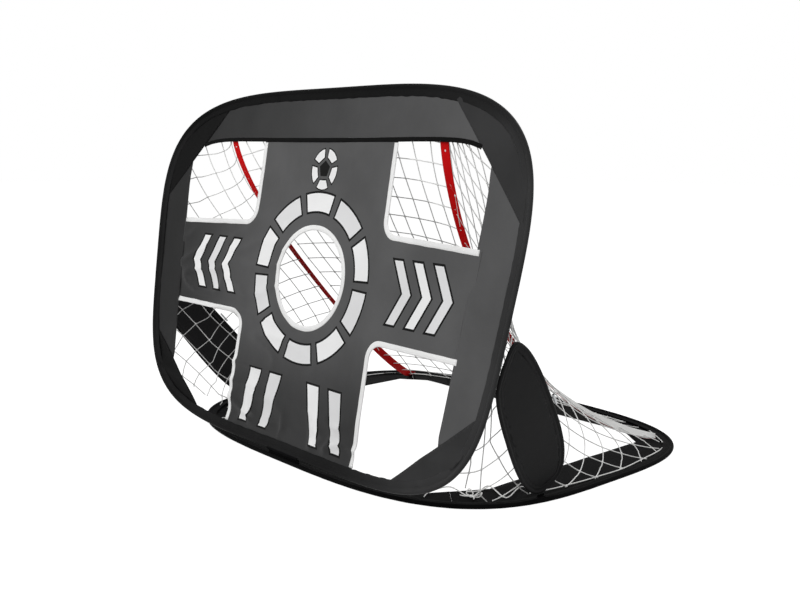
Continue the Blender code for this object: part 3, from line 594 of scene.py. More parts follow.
def cadOutlines(node, flatten, facing):
    # the edge loops of one face of a CAD sheet, laid flat, each a list of points
    bm = bmesh.new()
    bm.from_mesh(nodes[node].data)
    bmesh.ops.remove_doubles(bm, verts=bm.verts, dist=1e-5)
    hidden = [face for face in bm.faces if face.normal.dot(facing) < 0.5]
    bmesh.ops.delete(bm, geom=hidden, context="FACES")
    left = {edge for edge in bm.edges if edge.is_boundary}
    outlines = []
    while left:
        edge = min(left, key=lambda e: e.index)
        left.discard(edge)
        first, at = edge.verts
        loop = [first, at]
        while at != first:
            edge = next(e for e in at.link_edges if e in left)
            left.discard(edge)
            at = edge.other_vert(at)
            loop.append(at)
        outlines.append([flatten(vert.co) for vert in loop[:-1]])
    bm.free()
    return outlines


def fillBetween(bm, loops, ink):
    # faces between an outer loop of vertices and any inner ones
    edges = []
    for loop in loops:
        for pair in zip(loop, loop[1:] + loop[:1]):
            edges.append(bm.edges.get(pair) or bm.edges.new(pair))
    made = bmesh.ops.triangle_fill(bm, edges=edges, use_beauty=True, use_dissolve=False,
                                   normal=(0, 0, 1))
    for item in made["geom"]:
        if isinstance(item, bmesh.types.BMFace):
            item.material_index = ink


def flatSheet(outlines, cell, prints=()):
    # the sheet inside its outlines, cut into square cells; UV is its flat place in metres.
    # A print is (outline, line width, ink): its line is ink 1 and its middle the ink named.
    bm = bmesh.new()
    loops = [[bm.verts.new((*point, 0)) for point in outline] for outline in outlines]
    for outline, line, ink in prints:
        outer = [bm.verts.new((*point, 0)) for point in outline]
        inner = [bm.verts.new((*point, 0)) for point in insetOutline(outline, line)]
        fillBetween(bm, [outer, inner], 1)
        fillBetween(bm, [inner], ink)
        loops.append(outer)
    fillBetween(bm, loops, 0)
    for axis, normal in enumerate(((1, 0, 0), (0, 1, 0))):
        places = [v.co[axis] for v in bm.verts]
        for k in range(math.floor(min(places) / cell) + 1, math.ceil(max(places) / cell)):
            bmesh.ops.bisect_plane(bm, geom=bm.verts[:] + bm.edges[:] + bm.faces[:], dist=1e-6,
                                   plane_co=Vector(normal) * k * cell, plane_no=normal)
    diagonals = [edge for edge in bm.edges if not edge.is_boundary and not onGrid(edge, cell)
                 and len({face.material_index for face in edge.link_faces}) == 1]
    bmesh.ops.dissolve_edges(bm, edges=diagonals, use_verts=False)
    needless = [v for v in bm.verts if not v.is_boundary and len(v.link_edges) == 2 and straightAt(v)]
    bmesh.ops.dissolve_verts(bm, verts=needless)
    uv = bm.loops.layers.uv.new("UVMap")
    for face in bm.faces:
        for corner in face.loops:
            corner[uv].uv = corner.vert.co.xy
    return bm


def straightAt(vert):
    a, b = (edge.other_vert(vert).co for edge in vert.link_edges)
    return (a - vert.co).angle(vert.co - b, 1) < 0.01


def insetOutline(outline, by):
    # a counter-clockwise outline moved inwards, corners mitred
    count = len(outline)
    moved = []
    for i in range(count):
        before, here, after = outline[i - 1], outline[i], outline[(i + 1) % count]
        a, b = (here - before).normalized(), (after - here).normalized()
        normalA, normalB = Vector((-a.y, a.x)), Vector((-b.y, b.x))
        mitre = (normalA + normalB).normalized()
        moved.append(here + mitre * by / max(0.4, mitre.dot(normalA)))
    return moved


def onGrid(edge, cell):
    a, b = (vert.co for vert in edge.verts)
    for axis in (0, 1):
        steps = a[axis] / cell
        if abs(a[axis] - b[axis]) < 2e-6 and abs(steps - round(steps)) * cell < 5e-6:
            return True
    return False


def flatSize(bm):
    # the smallest (width, length) that the flat sheet is cut from, and its area
    best = None
    for turn in range(0, 90, 5):
        c, s = math.cos(math.radians(turn)), math.sin(math.radians(turn))
        xs = [v.co.x * c + v.co.y * s for v in bm.verts]
        ys = [v.co.y * c - v.co.x * s for v in bm.verts]
        size = (max(xs) - min(xs), max(ys) - min(ys))
        if best is None or size[0] * size[1] < best[0] * best[1]:
            best = size
    return best, sum(face.calc_area() for face in bm.faces)


def growAcross(outline, a, b, by):
    # points on the line from a to b move across it, to the side where by points
    across = Vector((a.y - b.y, b.x - a.x)).normalized()
    return [p + across * by if abs((p - a).dot(across)) < frontFabric["onLine"] else p for p in outline]


def stretchedSheet(name, outlines, cell, place, wall, finish, body, slot, node, prints=()):
    bm = flatSheet(outlines, cell, prints)
    size, area = flatSize(bm)
    for vert in bm.verts:
        vert.co = place(vert.co.x, vert.co.y)
    bmesh.ops.recalc_face_normals(bm, faces=bm.faces)
    obj = newObject(name, bm)
    thicken(obj, wall)
    finishPiece(obj, finish, body, slot, node)
    return obj


# fabric of the front frame, in layers: (out of the middle surface) sheet behind, bands, gussets in front
frontFabric = {
    "wall": 0.0004,
    "hemWall": 0.0006,
    "sheetOut": -0.0006,
    "bandOut": 0.0,
    "gussetOut": 0.0006,
    "lap": 0.005,
    "lapFrom": 0.05,
    "lapShare": 0.993,
    "onLine": 0.0008,
    "cell": 0.006,
    "bandHalf": (0.451, 0.274, 9.0),
    "rightBandWider": 0.008,
    "rightBandFrom": 0.1,
    "rightBandEdge": 0.003,
    "topGusset": ((0.350, 0.674), (0.545, 0.472)),
    "footGusset": ((0.500, 0.170), (0.303, 0.020)),
}


def frontOutlines(node):
    return cadOutlines(node, flatOnFrame, (frameMatrix.to_3x3() @ Vector((0, 0, 1))).normalized())


def frontCloth(name, outlines, out, finish, slot, node, prints=()):
    return stretchedSheet(name, outlines, frontFabric["cell"], lambda x, up: onFrame(x, up, out(x, up)),
                          frontFabric["wall"], finish, "front_frame", slot, node,
                          prints)


# printed design on the target sheet: ball panels round the oval, chevrons, bars and a ball
printDesign = {
    "line": 0.0042,
    "centre": (0.0, 0.3446),
    "oval": (0.1005, 0.094),
    "panels": 10,
    "panelReach": (1.34, 1.80),
    "panelGap": math.radians(5),
    "chevronX": (0.238, 0.292, 0.346),
    "chevronUp": 0.345,
    "chevronHalf": 0.060,
    "chevronPoint": 0.036,
    "chevronThick": 0.032,
    "ballCentre": (0.0, 0.556),
    "ballRadius": 0.042,
    "ballCore": 0.40,
    "ballLines": (0.4, 0.6),
    "ballPatch": ((6, 0.52), (7, 1.0), (21, 1.0), (36, 1.0), (51, 1.0), (65, 1.0), (66, 0.52), (36, 0.46)),
    "barFoot": 0.032,
    "barTop": 0.150,
    "barX": (0.060, 0.128),
    "barHalf": (0.0155, 0.0225),
    "barLean": 0.22,
}


def mirrored(outline):
    return [Vector((-p.x, p.y)) for p in reversed(outline)]


def printedMotifs():
    line = printDesign["line"]
    motifs = []
    cx, cy = printDesign["centre"]
    a, b = printDesign["oval"]
    near, far = printDesign["panelReach"]
    step = 2 * math.pi / printDesign["panels"]
    for k in range(printDesign["panels"]):
        start, end = k * step + printDesign["panelGap"] / 2, (k + 1) * step - printDesign["panelGap"] / 2
        turns = [start + (end - start) * i / 6 for i in range(7)]
        outer, inner = ([Vector((cx + a * reach * math.cos(t), cy + b * reach * math.sin(t))) for t in turns]
                        for reach in (far, near))
        motifs.append((outer + inner[::-1], line, 2 + k % 2))
    for i, x in enumerate(printDesign["chevronX"]):
        half, point = printDesign["chevronHalf"], printDesign["chevronPoint"]
        thick, up = printDesign["chevronThick"], printDesign["chevronUp"]
        shape = [Vector((x, up - half)), Vector((x + thick, up - half)), Vector((x + thick + point, up)),
                 Vector((x + thick, up + half)), Vector((x, up + half)), Vector((x + point, up))]
        motifs.append((shape, line, 2 + (i + 1) % 2))
        motifs.append((mirrored(shape), line, 2 + i % 2))
    middle, r = Vector(printDesign["ballCentre"]), printDesign["ballRadius"]
    spokes = [math.radians(90 + 72 * i) for i in range(5)]
    coreLine, patchLine = (share * line for share in printDesign["ballLines"])
    core = [middle + printDesign["ballCore"] * r * Vector((math.cos(t), math.sin(t))) for t in spokes]
    motifs.append((core, coreLine, 1))
    for t in spokes:
        turns = [(t + math.radians(d), reach) for d, reach in printDesign["ballPatch"]]
        patch = [middle + r * reach * Vector((math.cos(turn), math.sin(turn))) for turn, reach in turns]
        motifs.append((patch[::-1] if signedArea(patch) < 0 else patch, patchLine, 2))
    foot, top = printDesign["barFoot"], printDesign["barTop"]
    for i, x in enumerate(printDesign["barX"]):
        lean = printDesign["barLean"] * (top - foot)
        thin, wide = printDesign["barHalf"]
        bar = [Vector((x + lean - thin, foot)), Vector((x + lean + thin, foot)),
               Vector((x + wide, top)), Vector((x - wide, top))]
        motifs.append((bar, line, 2 + i % 2))
        motifs.append((mirrored(bar), line, 2 + (i + 1) % 2))
    return motifs


def signedArea(outline):
    return sum(p.x * q.y - q.x * p.y for p, q in zip(outline, outline[1:] + outline[:1])) / 2


# wrinkles of the front frame's cloths: depths and the heights and widths over which they fade, in metres
sheetFolds = {
    "from": 0.022,
    "fromOver": 0.025,
    "footHeight": 0.13,
    "footDepth": 0.0120,
    "leftFrom": 0.10,
    "leftOver": 0.35,
    "leftTop": 0.50,
    "leftTopOver": 0.2,
    "leftDepth": 0.0048,
    "softDepth": 0.0026,
}
bandFolds = {"runDepth": 0.0006, "softDepth": 0.0012}
gussetFolds = {"depth": 0.0035, "top": 0.26, "topOver": 0.12, "fanX": 0.10, "fanUp": -0.05}


def sheetOut(x, up):
    # how far the target sheet stands out of its middle surface
    foot = smooth(max(0.0, 1 - up / sheetFolds["footHeight"]))
    edge = clamp((up - sheetFolds["from"]) / sheetFolds["fromOver"])
    slanted = crease(x * 9 + up * 7, up * 22 - x * 4, 1) - 0.4
    fans = crease(x * 16 - up * 6, up * 6 + x * 3, 2) - 0.4
    out = sheetFolds["footDepth"] * foot * edge * (0.7 * slanted + 0.5 * fans)
    left = clamp((sheetFolds["leftFrom"] - x) / sheetFolds["leftOver"])
    left *= clamp((sheetFolds["leftTop"] - up) / sheetFolds["leftTopOver"])
    out += sheetFolds["leftDepth"] * left * edge * (crease(x * 7, up * 20, 3) - 0.3)
    return out + sheetFolds["softDepth"] * ripple(x * 5, up * 5, 4)


def bandOut(x, up):
    return (bandFolds["runDepth"] * ripple(x * 22, up * 5, 6)
            + bandFolds["softDepth"] * ripple(x * 6, up * 6, 7))


def gussetOut(x, up):
    # the lower gussets have long folds that fan out from the frame's foot
    low = clamp((gussetFolds["top"] - up) / gussetFolds["topOver"])
    turn = math.atan2(up - gussetFolds["fanUp"], abs(x) - gussetFolds["fanX"])
    return bandOut(x, up) + gussetFolds["depth"] * low * (crease(turn * 7, abs(x) * 3, 9, 2) - 0.3)


def makeFrontFabric():
    wide = [[lapPoint(p) for p in outline] for outline in frontOutlines("target_sheet")]
    sheet = frontCloth("target_sheet_fabric", wide, lambda x, up: frontFabric["sheetOut"] + sheetOut(x, up),
                       "greySheet", "grey_sheet", "target_sheet", printedMotifs())
    for ink in ("blackInk", "whiteInk", "greyInk", "sheetBack"):
        sheet.data.materials.append(fabric(ink))
    faceForward(sheet)
    shell = sheet.modifiers["wall"]
    shell.material_offset = shell.material_offset_rim = 4  # the print is on the front only
    for name in ("top_band", "right_band", "left_band"):
        outlines = underGussets(frontOutlines(name))
        if name == "right_band":
            outlines = [[widerBand(p) for p in outline] for outline in outlines]
        frontCloth(f"{name}_fabric", outlines, lambda x, up: frontFabric["bandOut"] + bandOut(x, up),
                   "bandFabric", "band_fabric", name)
    for name in ("upper_right_gusset", "upper_left_gusset", "lower_right_gusset", "lower_left_gusset"):
        frontCloth(f"{name}_fabric", frontOutlines(name),
                   lambda x, up: frontFabric["gussetOut"] + gussetOut(x, up), "gussetFabric",
                   "black_fabric", name)
    thick = frontFabric["hemWall"]
    stretchedSheet("top_hem_tape", frontOutlines("top_hem"), frontFabric["cell"],
                   lambda x, up: onFrame(x, up, thick + bandOut(x, up)), thick, "hemTape", "front_frame",
                   "black_fabric", "top_hem")
    print("front fabric done")


def underGussets(outlines):
    # a band's edges that meet a gusset run on under it
    middle = sum(outlines[0], Vector((0, 0))) / len(outlines[0])
    for line in (frontFabric["topGusset"], frontFabric["footGusset"]):
        for sign in (1, -1):
            a, b = (Vector((sign * x, up)) for x, up in line)
            away = -1 if (middle - a).dot(Vector((a.y - b.y, b.x - a.x))) > 0 else 1
            outlines = [growAcross(outline, a, b, away * frontFabric["lap"]) for outline in outlines]
            middle = sum(outlines[0], Vector((0, 0))) / len(outlines[0])
    return outlines


def widerBand(point):
    # the right band's inner edge, where the openings meet it
    inner = frontFabric["bandHalf"][0] * widening(point.y)
    if point.x < inner + frontFabric["rightBandEdge"] and point.y > frontFabric["rightBandFrom"]:
        return point - Vector((frontFabric["rightBandWider"], 0))
    return point


def lapPoint(point):
    # an edge of the sheet that meets a band runs on under it
    half, reach, power = frontFabric["bandHalf"]
    x, up = point
    c = abs(x) / (half * widening(up))
    s = abs(up - frontFrame["waist"]) / (reach if up > frontFrame["waist"] else frontFrame["waist"])
    if (c ** power + s ** power) ** (1 / power) < frontFabric["lapShare"] or up < frontFabric["lapFrom"]:
        return point
    lap = frontFabric["lap"]
    return Vector((x + math.copysign(lap, x), up)) if c > s else Vector((x, up + lap))


# white tape folded over the sheet's cut edges
bindingShape = {
    "width": 0.009,
    "half": 0.0013,
    "lip": 0.0012,
    "fold": 0.0008,
    "stitchIn": 0.001,
    "around": 0.024,
    "step": 0.005,
    "corner": 0.028,
    "upperHole": (0.207, 0.443),
    "lowerHole": (0.211, 0.248),
    "drop": 0.010,
    "waveScale": 60,
    "waves": (0.07, 0.18),
}


def bindingPath(level):
    # along the cut edge of a right-hand opening, the sheet on the left
    upper, r = level == "upper", bindingShape["corner"]
    x, up = bindingShape[f"{level}Hole"]
    flat = [flatOnFrame(v.co) for v in nodes[f"{level}_right_binding"].data.vertices]
    end, top, low = max(p.x for p in flat), max(p.y for p in flat), min(p.y for p in flat)
    first = (end, up - bindingShape["drop"]) if upper else (x, low)
    last = (x, top) if upper else (end, up)
    turns = [math.radians((-90 if upper else 180) - 9 * i) for i in range(11)]
    middle = up + r if upper else up - r
    bend = [Vector((x + r + r * math.cos(a), middle + r * math.sin(a))) for a in turns]
    return resample([Vector(first)] + bend + [Vector(last)], bindingShape["step"])


def resample(path, step):
    out = [path[0]]
    for a, b in zip(path, path[1:]):
        count = max(1, round((b - a).length / step))
        out += [a.lerp(b, i / count) for i in range(1, count + 1)]
    return out


def binding(name, path, closed, node, seed):
    width, half, lip = bindingShape["width"], bindingShape["half"], bindingShape["lip"]
    front = [(-width, half * 0.6), (bindingShape["fold"] - width, half), (-width * 0.5, half * 1.05),
             (-bindingShape["stitchIn"], half), (lip * 0.7, half * 0.75)]
    section = front + [(lip, 0)] + [(a, -b) for a, b in reversed(front)] + front[:1]
    inWave, outWave = bindingShape["waves"]
    count = len(path)
    spans = count if closed else count - 1
    length = sum((path[(i + 1) % count] - path[i]).length for i in range(spans))

    def point(u, v):
        a, b = section[round(u * (len(section) - 1))]
        k = round(v * spans)
        here = path[k % count]
        back = path[(k - 1) % count] if closed or k > 0 else here
        on = path[(k + 1) % count] if closed or k < spans else here
        heading = (on - back).normalized()
        aside = Vector((heading.y, -heading.x))
        run = here * bindingShape["waveScale"]
        b *= 1 + outWave * ripple(run.x, run.y, seed)
        a *= 1 + inWave * ripple(run.x * 0.7, run.y * 0.7, seed + 2)
        flat = here + aside * a
        return onFrame(flat.x, flat.y, frontFabric["sheetOut"] + sheetOut(flat.x, flat.y) + b)

    bm = skin(len(section) - 1, spans, point, (bindingShape["around"], length))
    if not closed:
        ends = [edge for edge in bm.edges if edge.is_boundary]
        bmesh.ops.holes_fill(bm, edges=ends, sides=0)
        bmesh.ops.recalc_face_normals(bm, faces=bm.faces)
    obj = newObject(name, bm)
    return finishPiece(obj, "whiteBinding", "front_frame", "white_binding", node)


def makeBindings():
    for level in ("upper", "lower"):
        right = bindingPath(level)
        for word, path, seed in (("right", right, 11), ("left", mirrored(right), 12)):
            binding(f"{level}_{word}_binding_tape", path, False, f"{level}_{word}_binding", seed)
    (x, up), (a, b) = printDesign["centre"], printDesign["oval"]
    turns = [2 * math.pi * i / 120 for i in range(120)]
    oval = [Vector((x - a * math.cos(turn), up + b * math.sin(turn))) for turn in turns]
    binding("centre_binding_tape", oval, True, "centre_binding", 13)
    print("bindings done")


# floor fabric and wings
floorCloth = {"wall": 0.0005, "height": 0.0014, "sideDip": 0.0003, "cell": 0.010, "ruck": 0.0010}


def hoopWire(name, edge, count, inset, radius, place, body, node):
    def circle(u, *along):
        way = 2 * math.pi * u
        return inset + radius * math.cos(way), radius * math.sin(way)

    hoop = ring(name, edge, count, 12, circle, place, 2 * math.pi * radius)
    finishPiece(hoop, "springSteel", body, "spring_steel", node)


def makeHoops():
    inset = frontFrame["tubeRadius"]
    hoopWire("floor_hoop_wire", floorEdge, 240, inset, floorFrame["hoopRadius"],
             lambda x, y, out: Vector((x, y, inset + out)), "base", "base_hoop")
    for side, word in sides:
        hoopWire(f"{word}_wing_wire", wingEdge, 160, wingShape["tubeRadius"], wingShape["hoopRadius"],
                 partial(onWing, side), f"{word}_wing", f"{word}_wing_hoop")


def makeFloorCloth():
    for name in ("front_floor_band", "right_floor_band", "back_floor_band", "left_floor_band"):
        height = floorCloth["height"] - (floorCloth["sideDip"] if name.startswith(("right", "left")) else 0)

        def place(x, y):
            return Vector((x, y, height + floorCloth["ruck"] * max(0, ripple(x * 14, y * 14, 21))))

        stretchedSheet(f"{name}_fabric", cadOutlines(name, flatOnFloor, Vector((0, 0, 1))),
                       floorCloth["cell"], place, floorCloth["wall"], "blackFabric", "base",
                       "black_fabric", name)
    print("floor fabric done")


wingCloth = {"wall": 0.0005, "cell": 0.007, "reach": 0.18, "bulge": 0.0012, "ruck": 0.0012}


def makeWings():
    outline = [spot + inwards * wingShape["clothIn"] for spot, inwards in evenLoop(wingEdge, 90)[0]]
    xs, ys = [p.x for p in outline], [p.y for p in outline]
    middle = Vector(((min(xs) + max(xs)) / 2, (min(ys) + max(ys)) / 2))
    for side, word in sides:
        def place(y, t):
            far = (Vector((y, t)) - middle).length / wingCloth["reach"]
            out = wingCloth["bulge"] * max(0, 1 - far * far)
            out += wingCloth["ruck"] * ripple(y * 12 + t * 4, t * 8, 31 + side) * max(0, 1 - far)
            return onWing(side, y, t, out)

        stretchedSheet(f"{word}_wing_cloth", [outline], wingCloth["cell"], place, wingCloth["wall"],
                       "wingFabric", f"{word}_wing", "black_fabric", f"{word}_wing_panel")
    print("wings done")


# net between the front frame and the floor frame; pulls shape its fall along the tapes
netShape = {
    "cord": 0.0020,
    "knot": 0.0021,
    "frameIn": 0.024,
    "floorIn": 0.027,
    "wingIn": 0.015,
    "wingAt": (-0.155, 0.075),
    "sidesFrom": 0.3,
    "behind": 0.0030,
    "tapeTop": 0.316,
    "tapeFoot": 0.380,
    "upperPull": (0.367, 0.0351, 0.575),
    "lowerPull": (0.150, 0.288, 0.079),
    "floorHeight": 0.0034,
    "footHeight": 0.085,
    "footX": 0.400,
    "sideSag": 0.020,
    "backWidth": 0.69,
    "slip": 0.0022,
    "loose": 0.0025,
    "looseFrom": 0.03,
    "stepsPerCell": 8,
}
tapeShape = {
    "width": 0.020,
    "wall": 0.0008,
    "behind": 0.0016,
    "steps": 60,
    "turn": math.radians(48),
    "turnFrom": 0.60,
    "turnOver": 0.20,
    "twist": (0, 0.0015, 0.0010),
}


def tieLines():
    # where the net is tied on, inside the edges of the front and the floor frame
    high = [spot + inwards * netShape["frameIn"] for spot, inwards in evenLoop(frameEdge, 360)[0]]
    low, (wingY, reach) = [], netShape["wingAt"]
    for spot, inwards in evenLoop(floorEdge, 360)[0]:
        nearWing = math.exp(-((spot.y - wingY) / reach) ** 2) if abs(spot.x) > netShape["sidesFrom"] else 0
        low.append(spot + inwards * (netShape["floorIn"] + netShape["wingIn"] * nearWing))
    return high, low


frameTies, floorTies = tieLines()


def heightsAt(loop, x):
    spots = [a.lerp(b, (x - a.x) / (b.x - a.x)) for a, b in zip(loop, loop[1:] + loop[:1])
             if (a.x - x) * (b.x - x) <= 0 and a.x != b.x]
    return min(p.y for p in spots), max(p.y for p in spots)


def onFloor(x, y):
    return Vector((x, y, netShape["floorHeight"]))


def behindFrame(point, gap):
    local = frameInverse @ point
    local.z = min(local.z, bowAt(local.x) - gap)
    return frameMatrix @ local


def netFall(side, share, gap):
    # down the net at the tapes, which are at side -1 and 1
    x = side * netShape["tapeTop"]
    top = onFrame(x, heightsAt(frameTies, x)[1], -gap)
    footX = netShape["tapeFoot"]
    floor = onFloor(side * footX, heightsAt(floorTies, side * footX)[1])
    upperX, upperBack, upperZ = netShape["upperPull"]
    lowerX, lowerAhead, lowerZ = netShape["lowerPull"]
    upper = Vector((side * upperX, hinge.y + upperBack, upperZ))
    lower = Vector((side * lowerX, floor.y - lowerAhead, lowerZ))
    rest = 1 - share
    point = rest ** 3 * top + 3 * rest ** 2 * share * upper
    point += 3 * rest * share ** 2 * lower + share ** 3 * floor
    return behindFrame(point, gap)


def evenly(points, share):
    # the place at a share of a line's length
    lengths = [(b - a).length for a, b in zip(points, points[1:])]
    left = share * sum(lengths)
    for a, b, length in zip(points, points[1:], lengths):
        if left <= length:
            return a.lerp(b, left / length)
        left -= length
    return points[-1].copy()


def steadyShares(count=80):
    # shares down the fall at even lengths of net
    lengths = runLengths([netFall(0, i / count, netShape["behind"]) for i in range(count + 1)])
    return [length / lengths[-1] for length in lengths], lengths[-1]


fallShares, fallLength = steadyShares()


def fallShare(down):
    for i in range(len(fallShares) - 1):
        if down <= fallShares[i + 1]:
            part = (down - fallShares[i]) / (fallShares[i + 1] - fallShares[i])
            return (i + part) / (len(fallShares) - 1)
    return 1.0


def backPlace(across, down):
    return netFall(2 * across - 1, fallShare(down), netShape["behind"])


def sideLines():
    # edges of the right side net: down the frame, along the tape, along the floor
    right = [p for p in frameTies if p.x > 0 and p.y > netShape["footHeight"]]
    right = [p for p in right if p.y < frontFrame["waist"] or p.x > netShape["tapeTop"]]
    right.sort(key=lambda p: math.atan2(p.y - frontFrame["waist"], p.x), reverse=True)
    frameLine = [onFrame(p.x, p.y, -netShape["behind"]) for p in right]
    tapeLine = [netFall(1, fallShare(i / 60), netShape["behind"]) for i in range(61)]
    floor = [p for p in floorTies if p.x > netShape["footX"] or (p.y > 0 and p.x > netShape["tapeFoot"])]
    floor.sort(key=lambda p: math.atan2(p.y, p.x - 0.2))
    floorLine = [frameLine[-1]] + [onFloor(p.x, p.y) for p in floor]
    return frameLine, tapeLine, floorLine


frameLine, tapeLine, floorLine = sideLines()


def sidePlace(side, across, down):
    # across 0 is on the frame and 1 on the tape
    point = evenly(frameLine, down).lerp(evenly(tapeLine, down), across)
    edge = frameLine[-1].lerp(tapeLine[-1], across)
    point += (evenly(floorLine, across) - edge) * down ** 2
    point.z -= netShape["sideSag"] * math.sin(math.pi * across) * math.sin(math.pi * down)
    point = behindFrame(point, netShape["behind"])
    point.z = max(point.z, netShape["floorHeight"])
    return Vector((side * point.x, point.y, point.z))


# how the mesh is drawn out of square as it hangs: each knot's place (across, down) in metres is a
# sum of powers of its row and its column, both in tens
backMesh = {
    "rows": (-3, 19),
    "columns": (-11, 9),
    "across": ((0.2525, 0.5051, -0.0476), (0.0382, -0.0741), (-0.0751,)),
    "down": ((0.0707, 0.0236, 0.0542), (0.3924, 0.0482), (0.0666,)),
}
leftMesh = {
    "rows": (-2, 20),
    "columns": (-9, 6),
    "across": ((-0.0464, 0.6638, 0.5070, 0.0198), (0.6454, -0.0479, -0.2805), (-0.3873, -0.1503),
               (0.0684,)),
    "down": ((0.2359, -0.6813, 0.2799, -0.0246), (0.1742, 0.4481, -0.1698), (0.0471, -0.1195),
             (0.0227,)),
}
rightMesh = {
    "rows": (-7, 9),
    "columns": (-16, 10),
    "across": ((0.2789, 0.1359, -0.0132), (-0.3049, 0.0137), (0.0060,)),
    "down": ((0.6159, 0.3758, -0.0027), (0.4005, 0.0037), (0.0038,)),
}


def meshPlace(mesh, row, column):
    a, b = row / 10, column / 10
    return tuple(sum(part * a ** i * b ** j for i, line in enumerate(mesh[way])
                     for j, part in enumerate(line)) for way in ("across", "down"))


def unfolded(mesh, row, column):
    x, y = meshPlace(mesh, row, column)
    nextRow, nextColumn = meshPlace(mesh, row + 0.1, column), meshPlace(mesh, row, column + 0.1)
    return (nextRow[0] - x) * (nextColumn[1] - y) < (nextRow[1] - y) * (nextColumn[0] - x)


def netPaths(mesh, inside, seed):
    # cords along rows and columns, straight from knot to knot, ended at the net's edge; and the knots
    placed = {}

    def knotAt(row, column):
        if (row, column) not in placed:
            x, y = meshPlace(mesh, row, column)
            slip = netShape["slip"]
            placed[row, column] = (x + slip * ripple(row * 1.7, column * 1.7, seed),
                                   y + slip * ripple(row * 1.7, column * 1.7, seed + 1))
        return placed[row, column]

    paths, knots, fine = [], [], netShape["stepsPerCell"]
    for along, over in (("rows", "columns"), ("columns", "rows")):
        first, last = mesh[over]
        for k in range(mesh[along][0], mesh[along][1] + 1):
            def spot(other):
                low = min(math.floor(other), last - 1)
                ends = [knotAt(k, n) if along == "rows" else knotAt(n, k) for n in (low, low + 1)]
                return tuple(a + (b - a) * (other - low) for a, b in zip(*ends))

            def held(other):
                where = (k, other) if along == "rows" else (other, k)
                return inside(spot(other)) and unfolded(mesh, *where)

            run, before = [], None
            for i in range(first * fine, last * fine + 1):
                here = i / fine
                isIn = held(here)
                if before is not None and isIn != held(before):
                    run.append(spot(boundary(held, before, here)))
                    if not isIn:
                        if len(run) > 3:
                            paths.append(run)
                        run = []
                if isIn:
                    run.append(spot(here))
                before = here
            if len(run) > 3:
                paths.append(run)
    for row in range(mesh["rows"][0], mesh["rows"][1] + 1):
        for column in range(mesh["columns"][0], mesh["columns"][1] + 1):
            if inside(knotAt(row, column)) and unfolded(mesh, row, column):
                knots.append(knotAt(row, column))
    return paths, knots


def boundary(held, a, b, halvings=12):
    # where a cord leaves the net, between a and b
    startsIn = held(a)
    for _ in range(halvings):
        middle = (a + b) / 2
        if held(middle) == startsIn:
            a = middle
        else:
            b = middle
    return (a + b) / 2


def cords(lines, radius):
    # round cords along lines, as a bmesh
    curve = bpy.data.curves.new("cords", "CURVE")
    curve.dimensions = "3D"
    curve.bevel_depth = radius
    curve.bevel_resolution = 1
    curve.use_fill_caps = True
    for line in lines:
        spline = curve.splines.new("POLY")
        spline.points.add(len(line) - 1)
        for target, point in zip(spline.points, line):
            target.co = (*point, 1)
    strands = bpy.data.objects.new("cords", curve)
    bpy.context.scene.collection.objects.link(strands)
    bpy.context.view_layer.update()
    shown = strands.evaluated_get(bpy.context.evaluated_depsgraph_get())
    mesh = bpy.data.meshes.new_from_object(shown)
    bpy.data.objects.remove(strands)
    bpy.data.curves.remove(curve)
    bm = bmesh.new()
    bm.from_mesh(mesh)
    bpy.data.meshes.remove(mesh)
    bmesh.ops.remove_doubles(bm, verts=bm.verts, dist=1e-6)
    return bm


# lacing cord on the floor band: where it goes through the band and the net in turn, then its bow
lacing = {
    "radius": 0.0011,
    "height": 0.0044,
    "holes": (
        (0.3189, -0.2803), (0.3231, -0.2352), (0.3833, -0.2432), (0.3634, -0.1793), (0.4260, -0.2004),
        (0.4053, -0.1380), (0.4410, -0.1281), (0.4543, -0.0553), (0.4599, 0.0197), (0.4620, 0.0848),
        (0.4519, 0.1674), (0.4397, 0.2435), (0.4160, 0.2897), (0.3401, 0.3474), (0.2877, 0.3705),
    ),
    "looseEnd": (0.3305, -0.3055),
    "bow": (0.3833, -0.2432),
    "loops": ((0.021, 2.5), (0.019, 0.9)),  # reach and way
    "tails": ((0.020, 3.7), (0.015, -0.5)),
    "loopWide": 0.28,
    "loopLift": 0.006,
    "tailBend": 0.003,
    "knot": (0.0040, 0.0034, 0.0026),
}


def rounded(points, steps=6):
    # a smooth line through points
    line = []
    ends = [points[0]] + list(points) + [points[-1]]
    for a, b, c, d in zip(ends, ends[1:], ends[2:], ends[3:]):
        for i in range(steps):
            t = i / steps
            line.append(0.5 * (2 * b + (c - a) * t + (2 * a - 5 * b + 4 * c - d) * t * t
                               + (3 * b - a - 3 * c + d) * t ** 3))
    return line + [points[-1]]


def makeLacing():
    height, thick = lacing["height"], lacing["radius"]
    run = [Vector((*spot, height)) for spot in (lacing["looseEnd"],) + lacing["holes"]]
    bow = Vector((*lacing["bow"], height + thick))
    lines = [rounded(run)]
    for kind in ("loops", "tails"):
        for reach, way in lacing[kind]:
            ahead = Vector((math.cos(way), math.sin(way), 0)) * reach
            aside = Vector((-math.sin(way), math.cos(way), 0))
            if kind == "loops":
                wide = aside * reach * lacing["loopWide"]
                far = bow + ahead + Vector((0, 0, lacing["loopLift"]))
                line = [bow, bow + ahead * 0.7 + wide, far, bow + ahead * 0.7 - wide, bow]
            else:
                line = [bow, bow + ahead * 0.5 + aside * lacing["tailBend"], bow + ahead]
            lines.append(rounded(line))
    for side, word in sides:
        bm = cords([[Vector((side * p.x, p.y, p.z)) for p in line] for line in lines], thick)
        knot = Matrix.Translation((side * bow.x, bow.y, bow.z)) @ Matrix.Diagonal((*lacing["knot"], 1))
        bmesh.ops.create_icosphere(bm, subdivisions=2, radius=1, matrix=knot)
        finishPiece(newObject(f"{word}_lacing_cord", bm), "netCord", "base", "net_cord")
    print("lacing done")


